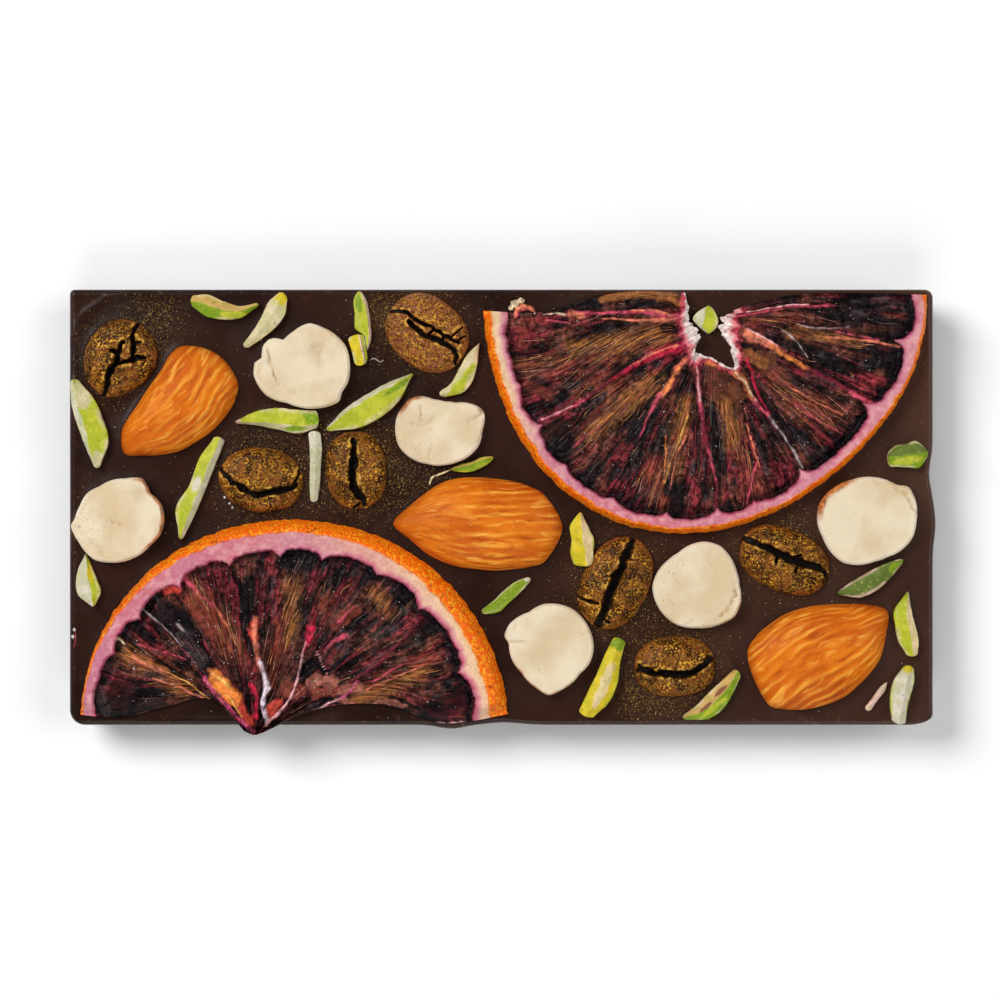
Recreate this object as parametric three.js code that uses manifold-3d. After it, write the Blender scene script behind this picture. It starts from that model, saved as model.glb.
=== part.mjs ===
// A dark chocolate bar set with two dried blood-orange half slices, almonds, split hazelnuts,
// coffee beans and slivered pistachios. Millimetres, +Z up, +X along the bar, +Y across it.
// The origin is the middle of the flat underside. Directions in degrees run anticlockwise from +X.
import * as THREE from "three";
import { mergeVertices } from "three/addons/utils/BufferGeometryUtils.js";
import Module from "manifold-3d";

const wasm = await Module();
wasm.setup();

// The bar itself: the poured top is the widest face, and the moulded underside is a little smaller.
const BAR_RIGHT = 62.6;
const BAR_LEFT = -62.5;
const BAR_BACK = 31.7;
const BAR_FRONT = -31.4;
const BAR_TOP = 8;
const SIDE_DRAFT = 1.3;
const TOP_EDGE = 0.5;
const FOOT_EDGE = 0.8;
const CORNER_RADII = { backRight: 1.2, backLeft: 0.7, frontLeft: 2.2, frontRight: 2.8 };
const EDGE_STEP = 5;
const CORNER_STEPS = 4;

// Where the poured edge swells out or draws in: the place along the side, how far and how broad.
const EDGE_SWELLS = [
  { side: "right", at: -2.2, out: 0.5, reach: 3 },
  { side: "right", at: 5, out: -0.5, reach: 2.6 },
  { side: "front", at: -7.2, out: 0.55, reach: 2.6 },
  { side: "front", at: 0.5, out: -0.35, reach: 3.2 },
];

// Every topping lies in a pocket of the chocolate with this much room round it.
const GAP = 0.3;
const CUT_TOLERANCE = 0.03;
const TURN = 2 * Math.PI;

// tip is the direction of the pointed end. blunt and point shape the two ends.
const ALMONDS = [
  { x: -47.1, y: 15.2, length: 21.4, width: 12, thick: 7.4, tip: 224.5, blunt: 2.8, point: 0.7 },
  { x: -3.4, y: -2.2, length: 24.8, width: 13.5, thick: 8, tip: 180, blunt: 2.4, point: 0.75 },
  { x: 46.3, y: -20.7, length: 22.8, width: 13.8, thick: 8, tip: 31, blunt: 3.6, point: 0.72 },
];
const ALMOND_WIDEST = -0.08;
const ALMOND_GROOVES = 12;
const ALMOND_GROOVE_DEPTH = 0.12;
const ALMOND_SEAT = 0.3;

// Half nuts with the split face up. A dent is a direction, how far in it goes and how broad it is
// in degrees, and one that goes out instead is negative.
const HAZELNUTS = [
  { x: -28.7, y: 20.6, length: 14.6, width: 12.2, dents: [[128, 0.8, 18], [164, 1, 8], [-45, -0.5, 20]] },
  { x: -8.9, y: 11.2, length: 13.1, width: 9.9, dents: [[92, 0.6, 20], [124, -0.8, 14], [31, -0.7, 14]] },
  { x: -55.3, y: -1.6, length: 13.3, width: 12.6, dents: [[65, -0.6, 9], [152, 0.7, 12], [125, 0.4, 12]] },
  { x: 7.1, y: -20.3, length: 12.9, width: 13.2, dents: [[176, 1.1, 7], [-130, 0.9, 20], [-48, 0.4, 16]] },
  { x: 28.4, y: -11.2, length: 13.1, width: 12.3, dents: [[145, 0.9, 20], [42, 0.7, 20], [-18, -0.4, 8]] },
  { x: 52.9, y: -1.9, length: 14.4, width: 12.9, dents: [[-42, 1, 18], [-106, -0.4, 14], [45, -0.4, 16]] },
];
const HAZELNUT_DEPTH = 4.4;
const HAZELNUT_RISE = 1.9;
const HAZELNUT_FACE_DIP = 0.25;

// turn is the direction of the crease. bow is how far the crease's middle lies to its left.
const COFFEE_BEANS = [
  { x: -55.5, y: 22.3, length: 11.6, width: 9.4, turn: 69, bow: -0.4 },
  { x: -10.7, y: 25.4, length: 12.4, width: 10.8, turn: -38, bow: 0.2 },
  { x: -34.6, y: 4.5, length: 12, width: 9.8, turn: -4, bow: -1.5 },
  { x: -21, y: 5.5, length: 11.4, width: 8.8, turn: 95, bow: -0.3 },
  { x: 16.6, y: -10.8, length: 14, width: 9.7, turn: 64, bow: 0.2 },
  { x: 41, y: -7.5, length: 13.6, width: 9.2, turn: -24, bow: 0.1 },
  { x: 25.2, y: -22.9, length: 11.8, width: 8.8, turn: 3, bow: -0.9 },
];
const BEAN_RISE = 2.5;
const BEAN_DEPTH = 3;
const CREASE_HALF_WIDTH = 0.5;
const CREASE_DEPTH = 1.3;

// Slivers run from one end to the other. bow is how far the middle lies to the left of that line.
const PISTACHIOS = [
  { from: [-44.9, 30.2], to: [-35.1, 29.7], width: 2.7, bow: -1 },
  { from: [-31.4, 31.1], to: [-37.2, 23.4], width: 2.1, bow: 0.9 },
  { from: [-20.4, 31.2], to: [-19.7, 25.8], width: 2, bow: 0 },
  { from: [-21, 25.2], to: [-20.1, 20.7], width: 2.6, bow: 0 },
  { from: [-61.7, 18.7], to: [-58.6, 5.8], width: 3.2, bow: 1.2 },
  { from: [-25.3, 11.5], to: [-12.8, 19.5], width: 3.1, bow: -0.5 },
  { from: [-38.4, 12.5], to: [-26.4, 13], width: 2.9, bow: 0 },
  { from: [-9.1, 16.6], to: [-3.1, 23.9], width: 2.3, bow: -1.3 },
  { from: [-40.7, 10.3], to: [-46.5, -4.4], width: 2.4, bow: -0.5 },
  { from: [-27.1, 11.2], to: [-26.9, 0.9], width: 1.8, bow: 0 },
  { from: [-7.2, 5.5], to: [-1.1, 7.3], width: 1.2, bow: -0.3 },
  { from: [-60.3, -8.5], to: [-59, -14.2], width: 3, bow: 0 },
  { from: [11.5, -0.6], to: [11.6, -7.8], width: 2.9, bow: 0 },
  { from: [-2.9, -14.9], to: [4.4, -10.4], width: 1.9, bow: -0.2 },
  { from: [17, -18.7], to: [12.2, -30.1], width: 2.7, bow: 0.2 },
  { from: [28, 27.2], to: [31, 27.4], width: 3.2, bow: 0 },
  { from: [26.4, -30.4], to: [34.4, -23.6], width: 2.5, bow: -0.8 },
  { from: [55.9, 7.4], to: [61.7, 8.2], width: 3.4, bow: 0 },
  { from: [48.8, -12.4], to: [58.2, -7.6], width: 2.4, bow: -0.2 },
  { from: [58.8, -12.1], to: [60, -21.4], width: 3, bow: -0.8 },
  { from: [59.3, -22.8], to: [57.6, -30.9], width: 2.8, bow: -0.4 },
  { from: [55.9, -25.2], to: [53, -29.3], width: 0.8, bow: 0 },
];
const PISTACHIO_RISE = 0.42;
const PISTACHIO_SINK = 0.3;

// A half slice is laid out between a curve round its core and an arc of rind. core, near and far
// are points of the core's curve and of the two cut edges, in equal steps, near first. joints are
// the directions in which the membranes between the segments meet the pith.
const SLICES = [
  {
    name: "orange_slice_upper",
    centre: [28.5, 29],
    radius: 32.1,
    waver: { count: 3, size: 1, at: 249 },
    from: 180.7,
    to: 363.4,
    skin: [1.1, 1.2, 1],
    pith: [2.6, 1.7, 1.7],
    core: [[26.6, 31.2], [27.5, 27], [27.9, 23.3], [28, 22.2], [28.9, 21.3], [32.8, 20.1], [33.7, 22], [32.4, 25.5], [34, 28.8]],
    near: [[26.6, 31.2], [19, 31.4], [13, 30.4], [6, 28.4], [-2.6, 28.6]],
    far: [[34, 28.8], [40.5, 30.6], [47, 31.1], [54, 31.1], [61.6, 30.9]],
    joints: [203, 216, 229, 242.5, 258, 275, 285.5, 302, 330, 350],
  },
  {
    name: "orange_slice_lower",
    centre: [-30.1, -31.4],
    radius: 30.5,
    waver: { count: 2, size: 0.7, at: 176 },
    from: 3,
    to: 177.2,
    skin: [3, 2, 1],
    pith: [2, 2.8, 1.8],
    core: [[-34.2, -32.35], [-35.7, -32.8], [-37.2, -32.2]],
    near: [[-34.2, -32.35], [-26.3, -29], [-17.3, -28.4], [-8.3, -31.1], [1, -29.8]],
    far: [[-37.2, -32.2], [-42.2, -27.6], [-48.4, -28.7], [-54.7, -30.3], [-60.9, -29.9]],
    joints: [15, 42, 59.5, 78, 92, 109, 127, 143.5, 157],
  },
];
const SLICE_FLOOR = 7.2;
const SKIN_HEIGHT = 2.6;
const PITH_HEIGHT = 2.3;
const FLESH_HEIGHT = 1.3;
const MEMBRANE_HEIGHT = 0.5;
const FLESH_SAG = 0.35;
const EDGE_FADE = 0.18;
const STEPS_PER_SEGMENT = 4;
const FLESH_RINGS = 5;

const finish = (color, roughness) => new THREE.MeshStandardMaterial({ color, roughness, metalness: 0 });
const chocolate = finish(0x3b2219, 0.35);
const almondSkin = finish(0xce711f, 0.7);
const hazelnutFlesh = finish(0xe6d6b4, 0.6);
const roastedBean = finish(0x6b4a1e, 0.55);
const pistachioFlesh = finish(0xb9bf55, 0.7);
const driedOrange = finish(0x5b2c26, 0.5);

const radians = THREE.MathUtils.degToRad;
const mix = THREE.MathUtils.lerp;
const point = (x, y, z) => new THREE.Vector3(x, y, z);

// Triangles that fill a flat ring and wind the way the ring does.
function capTriangles(flat) {
  const { area, triangulateShape } = THREE.ShapeUtils;
  const triangles = triangulateShape(flat, []);
  const wound = triangles.reduce((sum, corners) => sum + area(corners.map((k) => flat[k])), 0);
  return wound > 0 === area(flat) > 0 ? triangles : triangles.map(([a, b, c]) => [a, c, b]);
}

// One closed surface over a row of rings that turn the same way. An end of one point is a pole,
// and any other end is filled as a flat face, seen through the function flatten.
function skinOver(rings, flatten) {
  const positions = [];
  const faces = [];
  const starts = rings.map((ring) => {
    const start = positions.length / 3;
    ring.forEach((p) => positions.push(p.x, p.y, p.z));
    return start;
  });
  for (let i = 0; i + 1 < rings.length; i++) {
    const [low, high] = [rings[i].length, rings[i + 1].length];
    const count = Math.max(low, high);
    for (let j = 0; j < count; j++) {
      const next = (j + 1) % count;
      const a = starts[i] + (j % low);
      const b = starts[i] + (next % low);
      const c = starts[i + 1] + (next % high);
      const d = starts[i + 1] + (j % high);
      if (low > 1) faces.push(a, b, c);
      if (high > 1) faces.push(a, c, d);
    }
  }
  const last = rings.length - 1;
  if (rings[0].length > 1)
    capTriangles(rings[0].map(flatten)).forEach(([a, b, c]) => faces.push(a, c, b));
  if (rings[last].length > 1)
    capTriangles(rings[last].map(flatten)).forEach((f) => faces.push(...f.map((k) => starts[last] + k)));
  const geometry = new THREE.BufferGeometry();
  geometry.setAttribute("position", new THREE.Float32BufferAttribute(positions, 3));
  geometry.setIndex(faces);
  return geometry;
}

function toSolid(geometry) {
  const bare = geometry.clone();
  bare.deleteAttribute("normal");
  bare.deleteAttribute("uv");
  const merged = mergeVertices(bare, 1e-4);
  const mesh = new wasm.Mesh({
    numProp: 3,
    vertProperties: new Float32Array(merged.attributes.position.array),
    triVerts: new Uint32Array(merged.index.array),
  });
  return new wasm.Manifold(mesh);
}

function toGeometry(solid) {
  const { vertProperties, triVerts } = solid.getMesh();
  const geometry = new THREE.BufferGeometry();
  geometry.setAttribute("position", new THREE.BufferAttribute(vertProperties, 3));
  geometry.setIndex(new THREE.BufferAttribute(triVerts, 1));
  geometry.computeVertexNormals();
  return geometry;
}

// A smooth curve through points of the plan.
const planCurve = (points) => new THREE.CatmullRomCurve3(points.map(([x, y]) => point(x, y, 0)), false, "centripetal");

// Values given in equal steps, read smoothly between them.
function reading(values, share) {
  const place = THREE.MathUtils.clamp(share, 0, 1) * (values.length - 1);
  const low = Math.min(Math.floor(place), values.length - 2);
  return mix(values[low], values[low + 1], THREE.MathUtils.smoothstep(place - low, 0, 1));
}

// How far the poured edge stands out at a place on a side.
function swell(side, place) {
  return EDGE_SWELLS.filter((s) => s.side === side).reduce(
    (sum, s) => sum + s.out * Math.exp(-(((place - s.at) / s.reach) ** 2)),
    0,
  );
}

// The bar's outline, drawn in by inset all round, anticlockwise from the front right corner.
function barOutline(inset) {
  const [right, left, back, front] = [BAR_RIGHT - inset, BAR_LEFT + inset, BAR_BACK - inset, BAR_FRONT + inset];
  const corners = [
    { x: right, y: back, turn: 0, radius: CORNER_RADII.backRight, signs: [-1, -1], side: "back" },
    { x: left, y: back, turn: 90, radius: CORNER_RADII.backLeft, signs: [1, -1], side: "left" },
    { x: left, y: front, turn: 180, radius: CORNER_RADII.frontLeft, signs: [1, 1], side: "front" },
    { x: right, y: front, turn: 270, radius: CORNER_RADII.frontRight, signs: [-1, 1], side: "right" },
  ];
  const points = [];
  corners.forEach((corner, k) => {
    const middle = [corner.x + corner.signs[0] * corner.radius, corner.y + corner.signs[1] * corner.radius];
    for (let i = 0; i <= CORNER_STEPS; i++) {
      const angle = radians(corner.turn + (90 * i) / CORNER_STEPS);
      points.push([middle[0] + corner.radius * Math.cos(angle), middle[1] + corner.radius * Math.sin(angle)]);
    }
    const next = corners[(k + 1) % corners.length];
    const start = points[points.length - 1];
    const alongX = k % 2 === 0;
    const end = alongX ? next.x + next.signs[0] * next.radius : next.y + next.signs[1] * next.radius;
    const begin = alongX ? start[0] : start[1];
    const steps = Math.round((alongX ? BAR_RIGHT - BAR_LEFT : BAR_BACK - BAR_FRONT) / EDGE_STEP);
    for (let i = 1; i < steps; i++) {
      const place = mix(begin, end, i / steps);
      const out = swell(corner.side, place);
      if (alongX) points.push([place, start[1] + (corner.side === "front" ? -out : out)]);
      else points.push([start[0] + (corner.side === "right" ? out : -out), place]);
    }
  });
  return points;
}

// The slab before its pockets are cut: rounded at the foot, drafted sides and a softened top edge.
function slabBlank() {
  const levels = [
    [0, SIDE_DRAFT + FOOT_EDGE],
    [FOOT_EDGE * 0.3, SIDE_DRAFT + FOOT_EDGE * 0.3],
    [FOOT_EDGE, SIDE_DRAFT],
    [BAR_TOP - TOP_EDGE, 0],
    [BAR_TOP - TOP_EDGE * 0.3, TOP_EDGE * 0.25],
    [BAR_TOP, TOP_EDGE],
  ];
  const rings = levels.map(([z, inset]) => barOutline(inset).map(([x, y]) => point(x, y, z)));
  return skinOver(rings, (p) => new THREE.Vector2(p.x, p.y));
}

// How wide an almond is at a share of its half length, from -1 at the broad end to 1 at the tip.
function almondGirth(share, blunt, pointed) {
  if (share < ALMOND_WIDEST) return Math.sqrt(1 - ((ALMOND_WIDEST - share) / (1 + ALMOND_WIDEST)) ** blunt);
  return (1 - ((share - ALMOND_WIDEST) / (1 - ALMOND_WIDEST)) ** 1.7) ** pointed;
}

// A whole almond along +X, tip forward, with grooves that run from end to end.
function almondShape({ length, width, thick, blunt, point: pointed }, room, stations, sides) {
  const rings = [[point(-length / 2 - room, 0, 0)]];
  for (let i = 1; i < stations; i++) {
    const share = -Math.cos((Math.PI * i) / stations);
    const girth = almondGirth(share, blunt, pointed);
    const ring = [];
    for (let j = 0; j < sides; j++) {
      const angle = (TURN * j) / sides;
      const groove = room ? 0 : ALMOND_GROOVE_DEPTH * (1 - Math.cos(ALMOND_GROOVES * angle));
      const y = (girth * (width / 2 - groove) + room) * Math.cos(angle);
      const z = (girth * (thick / 2 - groove) + room) * Math.sin(angle);
      ring.push(point(share * (length / 2 + room), y, z));
    }
    rings.push(ring);
  }
  rings.push([point(length / 2 + room, 0, 0)]);
  return skinOver(rings);
}

// How far a half nut reaches in a direction, with its dents and lobes.
function hazelnutReach({ length, width, dents }, angle) {
  const round = 1 / Math.hypot(Math.cos(angle) / (length / 2), Math.sin(angle) / (width / 2));
  return dents.reduce((reach, [at, depth, breadth]) => {
    const away = THREE.MathUtils.euclideanModulo(THREE.MathUtils.radToDeg(angle) - at + 180, 360) - 180;
    return reach - depth * Math.exp(-((away / breadth) ** 2));
  }, round);
}

// A split hazelnut: a round underside and a nearly flat face that dips in the middle.
function hazelnutShape(nut, room, sides) {
  const under = [0.5, 0.88].map((share) => [share, -HAZELNUT_DEPTH * Math.sqrt(1 - share ** 2)]);
  const face = [
    [1, 0.5],
    [0.93, HAZELNUT_RISE - 0.25],
    [0.82, HAZELNUT_RISE],
    [0.45, HAZELNUT_RISE - HAZELNUT_FACE_DIP * 0.5],
  ];
  const ring = ([share, z]) =>
    Array.from({ length: sides }, (_, j) => {
      const angle = (TURN * j) / sides;
      const reach = hazelnutReach(nut, angle) * share + room;
      return point(reach * Math.cos(angle), reach * Math.sin(angle), z + Math.sign(z) * room);
    });
  const middle = HAZELNUT_RISE - HAZELNUT_FACE_DIP + room;
  return skinOver([[point(0, 0, -HAZELNUT_DEPTH - room)], ...[...under, ...face].map(ring), [point(0, 0, middle)]]);
}

// A roasted bean along +X, crease up. Without the crease it is the shape of its pocket.
function beanShape({ length, width, bow }, room, stations, creased) {
  const lobe = [0.98, 0.8, 0.45];
  const under = [-0.97, -0.62, 0, 0.62, 0.97];
  const rings = [[point(-length / 2 - room, 0, 0)]];
  for (let i = 1; i < stations; i++) {
    const share = -Math.cos((Math.PI * i) / stations);
    const girth = (1 - Math.abs(share) ** 2.3) ** 0.5;
    const x = share * (length / 2 + room);
    const half = (girth * width) / 2 + room;
    const rise = BEAN_RISE * girth + room;
    const depth = BEAN_DEPTH * girth + room;
    const middle = bow * (1 - share ** 2);
    const lip = CREASE_HALF_WIDTH * Math.sqrt(girth);
    const top = (y) => rise * Math.sqrt(Math.max(0, 1 - (y / half) ** 4));
    const right = lobe.map((s) => point(x, mix(middle, half, s), top(mix(middle, half, s))));
    const left = lobe.map((s) => point(x, mix(middle, -half, s), top(mix(middle, -half, s)))).reverse();
    const crease = [
      point(x, middle + lip, rise * 0.94),
      point(x, middle, rise - CREASE_DEPTH * girth),
      point(x, middle - lip, rise * 0.94),
    ];
    const belly = under.map((s) => point(x, s * half, -depth * Math.sqrt(1 - s * s)));
    rings.push([...right, ...(creased ? crease : []), ...left, ...belly]);
  }
  rings.push([point(length / 2 + room, 0, 0)]);
  return skinOver(rings);
}

// A sliver along +X from its first end: six-sided, bowed and drawn in towards both ends.
function pistachioShape({ from, to, width, bow }, room) {
  const length = Math.hypot(to[0] - from[0], to[1] - from[1]);
  const corners = [[1, 0.1], [0.55, 0.95], [-0.35, 1], [-1, 0.2], [-0.6, -0.9], [0.6, -0.9]];
  const stations = [
    [0.03, 0.5],
    [0.22, 0.9],
    [0.55, 1],
    [0.85, 0.7],
    [0.98, 0.35],
  ];
  const rings = stations.map(([share, girth]) => {
    const side = bow * (1 - (2 * share - 1) ** 2);
    const x = share * length + (share - 0.5) * 2 * room;
    return corners.map(([across, up]) => {
      const y = side + across * ((girth * width) / 2 + room);
      return point(x, y, up * (girth * width * PISTACHIO_RISE + room));
    });
  });
  const middle = (ring) => ring.reduce((sum, p) => sum.add(p), point(0, 0, 0)).divideScalar(ring.length);
  const start = middle(rings[0]).add(point(-0.03 * length - room, 0, 0));
  const end = middle(rings[rings.length - 1]).add(point(0.02 * length + room, 0, 0));
  return skinOver([[start], ...rings, [end]]);
}

// The outer edge of a slice at a share of its arc.
function rimPoint(slice, share) {
  const angle = mix(slice.from, slice.to, share);
  const { count, size, at } = slice.waver;
  const reach = slice.radius + size * Math.cos(radians(count * (angle - at)));
  return point(
    slice.centre[0] + reach * Math.cos(radians(angle)),
    slice.centre[1] + reach * Math.sin(radians(angle)),
    0,
  );
}

// A place on a slice: share runs along the arc, and out from 0 at the core to 1 at the skin. The
// two cut edges pull what is close to them along.
function slicePlan(slice, curves, share, out) {
  const core = curves.core.getPoint(share);
  const place = core.clone().lerp(rimPoint(slice, share), out);
  [
    [curves.near, 0],
    [curves.far, 1],
  ].forEach(([curve, end]) => {
    const straight = curves.core.getPoint(end).lerp(rimPoint(slice, end), out);
    const pull = Math.exp(-(((share - end) / EDGE_FADE) ** 2));
    place.add(curve.getPoint(out).sub(straight).multiplyScalar(pull));
  });
  return place;
}

function sliceCurves(slice) {
  return { core: planCurve(slice.core), near: planCurve(slice.near), far: planCurve(slice.far) };
}

// The shares of the arc at which the slice is cut into sections: each membrane, and steps between.
function sliceSections(slice) {
  const ends = [slice.from, ...slice.joints, slice.to].map((a) => (a - slice.from) / (slice.to - slice.from));
  const sections = [];
  for (let k = 0; k + 1 < ends.length; k++)
    for (let i = 0; i < STEPS_PER_SEGMENT; i++)
      sections.push({ share: mix(ends[k], ends[k + 1], i / STEPS_PER_SEGMENT), across: i / STEPS_PER_SEGMENT });
  sections.push({ share: 1, across: 0 });
  return sections;
}

// The outline of a slice, anticlockwise: along the skin, in by the far edge, back along the core.
function boundary(grid) {
  const last = grid.length - 1;
  return [
    ...grid.map((row) => row[0]),
    ...grid[last].slice(1, -1),
    ...grid.map((row) => row[row.length - 1]).reverse(),
    ...grid[0].slice(1, -1).reverse(),
  ];
}

// A solid with a flat floor, upright sides and a top that follows rows of points.
function plateUnder(grid, floor) {
  const top = grid.flat();
  const wide = grid[0].length;
  const loop = boundary(grid);
  const at = new Map(top.map((p, i) => [p, i]));
  const faces = [];
  for (let i = 0; i + 1 < grid.length; i++)
    for (let j = 0; j + 1 < wide; j++) {
      const [a, b] = [i * wide + j, (i + 1) * wide + j];
      faces.push(a, b, b + 1, a, b + 1, a + 1);
    }
  loop.forEach((p, i) => {
    const [here, next] = [at.get(p), at.get(loop[(i + 1) % loop.length])];
    const [under, nextUnder] = [top.length + i, top.length + ((i + 1) % loop.length)];
    faces.push(here, under, nextUnder, here, nextUnder, next);
  });
  const plan = loop.map((p) => new THREE.Vector2(p.x, p.y));
  capTriangles(plan).forEach(([a, b, c]) => faces.push(top.length + a, top.length + c, top.length + b));
  const positions = [...top, ...loop.map((p) => p.clone().setZ(floor))].flatMap((p) => [p.x, p.y, p.z]);
  const geometry = new THREE.BufferGeometry();
  geometry.setAttribute("position", new THREE.Float32BufferAttribute(positions, 3));
  geometry.setIndex(faces);
  return geometry;
}

// The top of a dried half slice: sloping skin, a firm pith, sunken flesh and raised membranes.
function sliceTop(slice) {
  const curves = sliceCurves(slice);
  return sliceSections(slice).map(({ share, across }) => {
    const reach = curves.core.getPoint(share).distanceTo(rimPoint(slice, share));
    const skin = reading(slice.skin, share);
    const pith = reading(slice.pith, share);
    const at = (inward, height) =>
      slicePlan(slice, curves, share, Math.max(0, 1 - inward / reach)).setZ(BAR_TOP + height);
    const ridge = across === 0 ? MEMBRANE_HEIGHT : -FLESH_SAG * Math.sin(Math.PI * across);
    const row = [
      at(0, 0.3),
      at(0.45 * skin, 0.75 * SKIN_HEIGHT),
      at(skin, SKIN_HEIGHT),
      at(skin + pith, PITH_HEIGHT),
      at(skin + pith + 0.8, FLESH_HEIGHT * 0.7 + ridge),
    ];
    for (let i = 1; i < FLESH_RINGS; i++)
      row.push(at(mix(skin + pith, reach, i / FLESH_RINGS), FLESH_HEIGHT + ridge));
    row.push(at(reach, 0.5 * FLESH_HEIGHT));
    return row;
  });
}

// The recess that a slice lies in: its outline, wider by the gap.
function sliceRecess(grid) {
  const loop = boundary(grid);
  const outline = loop.map((p, i) => {
    const along = loop[(i + 1) % loop.length].clone().sub(loop[(i + loop.length - 1) % loop.length]);
    along.setZ(0).normalize();
    return new THREE.Vector2(p.x + along.y * GAP, p.y - along.x * GAP);
  });
  const recess = new THREE.ExtrudeGeometry(new THREE.Shape(outline), { depth: BAR_TOP, bevelEnabled: false });
  return recess.translate(0, 0, SLICE_FLOOR - GAP);
}

const bar = new THREE.Group();
const pockets = [];

// Adds a topping that is turned about its own middle, and keeps the pocket that it lies in.
function setIn(name, shape, pocket, material, [x, y, z], degrees) {
  const mesh = new THREE.Mesh(shape, material);
  mesh.name = name;
  mesh.position.set(x, y, z);
  mesh.rotation.z = radians(degrees);
  mesh.updateMatrix();
  bar.add(mesh);
  pockets.push(pocket.applyMatrix4(mesh.matrix));
}

ALMONDS.forEach((nut, i) => {
  const seat = [nut.x, nut.y, BAR_TOP + ALMOND_SEAT];
  setIn(`almond_${i + 1}`, almondShape(nut, 0, 11, 24), almondShape(nut, GAP + 0.35, 9, 12), almondSkin, seat, nut.tip);
});

HAZELNUTS.forEach((nut, i) => {
  const seat = [nut.x, nut.y, BAR_TOP];
  setIn(`hazelnut_${i + 1}`, hazelnutShape(nut, 0, 24), hazelnutShape(nut, GAP + 0.08, 24), hazelnutFlesh, seat, 0);
});

COFFEE_BEANS.forEach((bean, i) => {
  const seat = [bean.x, bean.y, BAR_TOP];
  const pocket = beanShape(bean, GAP + 0.05, 10, false);
  setIn(`coffee_bean_${i + 1}`, beanShape(bean, 0, 10, true), pocket, roastedBean, seat, bean.turn);
});

PISTACHIOS.forEach((sliver, i) => {
  const seat = [...sliver.from, BAR_TOP + sliver.width * PISTACHIO_RISE - PISTACHIO_SINK];
  const [dx, dy] = [sliver.to[0] - sliver.from[0], sliver.to[1] - sliver.from[1]];
  const turn = THREE.MathUtils.radToDeg(Math.atan2(dy, dx));
  setIn(`pistachio_${i + 1}`, pistachioShape(sliver, 0), pistachioShape(sliver, GAP), pistachioFlesh, seat, turn);
});

SLICES.forEach((slice) => {
  const top = sliceTop(slice);
  setIn(slice.name, plateUnder(top, SLICE_FLOOR), sliceRecess(top), driedOrange, [0, 0, 0], 0);
});

const slab = pockets.reduce((solid, pocket) => solid.subtract(toSolid(pocket)), toSolid(slabBlank()));
const slabMesh = new THREE.Mesh(toGeometry(slab.simplify(CUT_TOLERANCE)), chocolate);
slabMesh.name = "chocolate_slab";
bar.add(slabMesh);

export default bar;
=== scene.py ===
"""A dark chocolate bar set with dried blood-orange half slices, nuts and gold-dusted coffee beans.

Shapes are worked out in millimetres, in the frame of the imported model, and scaled to metres when
a mesh is made. Directions are in degrees, anticlockwise from +X seen from above. A topping's own
frame has its +X along the topping and its left side towards +Y.
"""

import math
from collections import namedtuple

import bpy
import numpy as np
from mathutils.bvhtree import BVHTree
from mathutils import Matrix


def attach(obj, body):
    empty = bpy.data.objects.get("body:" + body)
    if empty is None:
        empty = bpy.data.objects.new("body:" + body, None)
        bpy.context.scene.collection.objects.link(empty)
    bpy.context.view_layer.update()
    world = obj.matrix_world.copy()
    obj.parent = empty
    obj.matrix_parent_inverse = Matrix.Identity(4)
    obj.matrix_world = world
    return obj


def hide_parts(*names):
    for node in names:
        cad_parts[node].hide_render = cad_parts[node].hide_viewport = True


MM = 0.001
TURN = 2 * math.pi

# The bar, as in the solid model
BAR_RIGHT = 62.6
BAR_LEFT = -62.5
BAR_BACK = 31.7
BAR_FRONT = -31.4
BAR_TOP = 8.0
SIDE_DRAFT = 1.3
FOOT_EDGE = 0.8
TOP_EDGE = 0.45
# Height that no grain or thread may pass
TALLEST = 12.28
# Heights down the sides, with how far in each of them lies
SIDE_LEVELS = [
    (BAR_TOP - 1.1, 0.03), (6.2, 0.25), (5.0, 0.5), (3.6, 0.8), (2.2, 1.05), (FOOT_EDGE, SIDE_DRAFT),
    (FOOT_EDGE * 0.6, SIDE_DRAFT + 0.1), (FOOT_EDGE * 0.25, SIDE_DRAFT + 0.35),
    (0.0, SIDE_DRAFT + FOOT_EDGE),
]
# Size of each corner's curve along X and along Y, by its side
CORNERS = {(1, 1): (1.2, 1.2), (-1, 1): (0.7, 0.7), (-1, -1): (2.2, 2.2), (1, -1): (3.6, 1.5)}
EDGE_SWELLS = [
    ("right", -2.2, 0.42, 3.0),
    ("right", 5.0, -0.5, 2.6),
    ("front", -7.2, 0.55, 2.6),
    ("front", 0.5, -0.35, 3.2),
]
CORNER_RIDGE = [(-62.6, 24.0), (-60.6, 28.2), (-57.0, 30.6), (-51.0, 31.8)]

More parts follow.
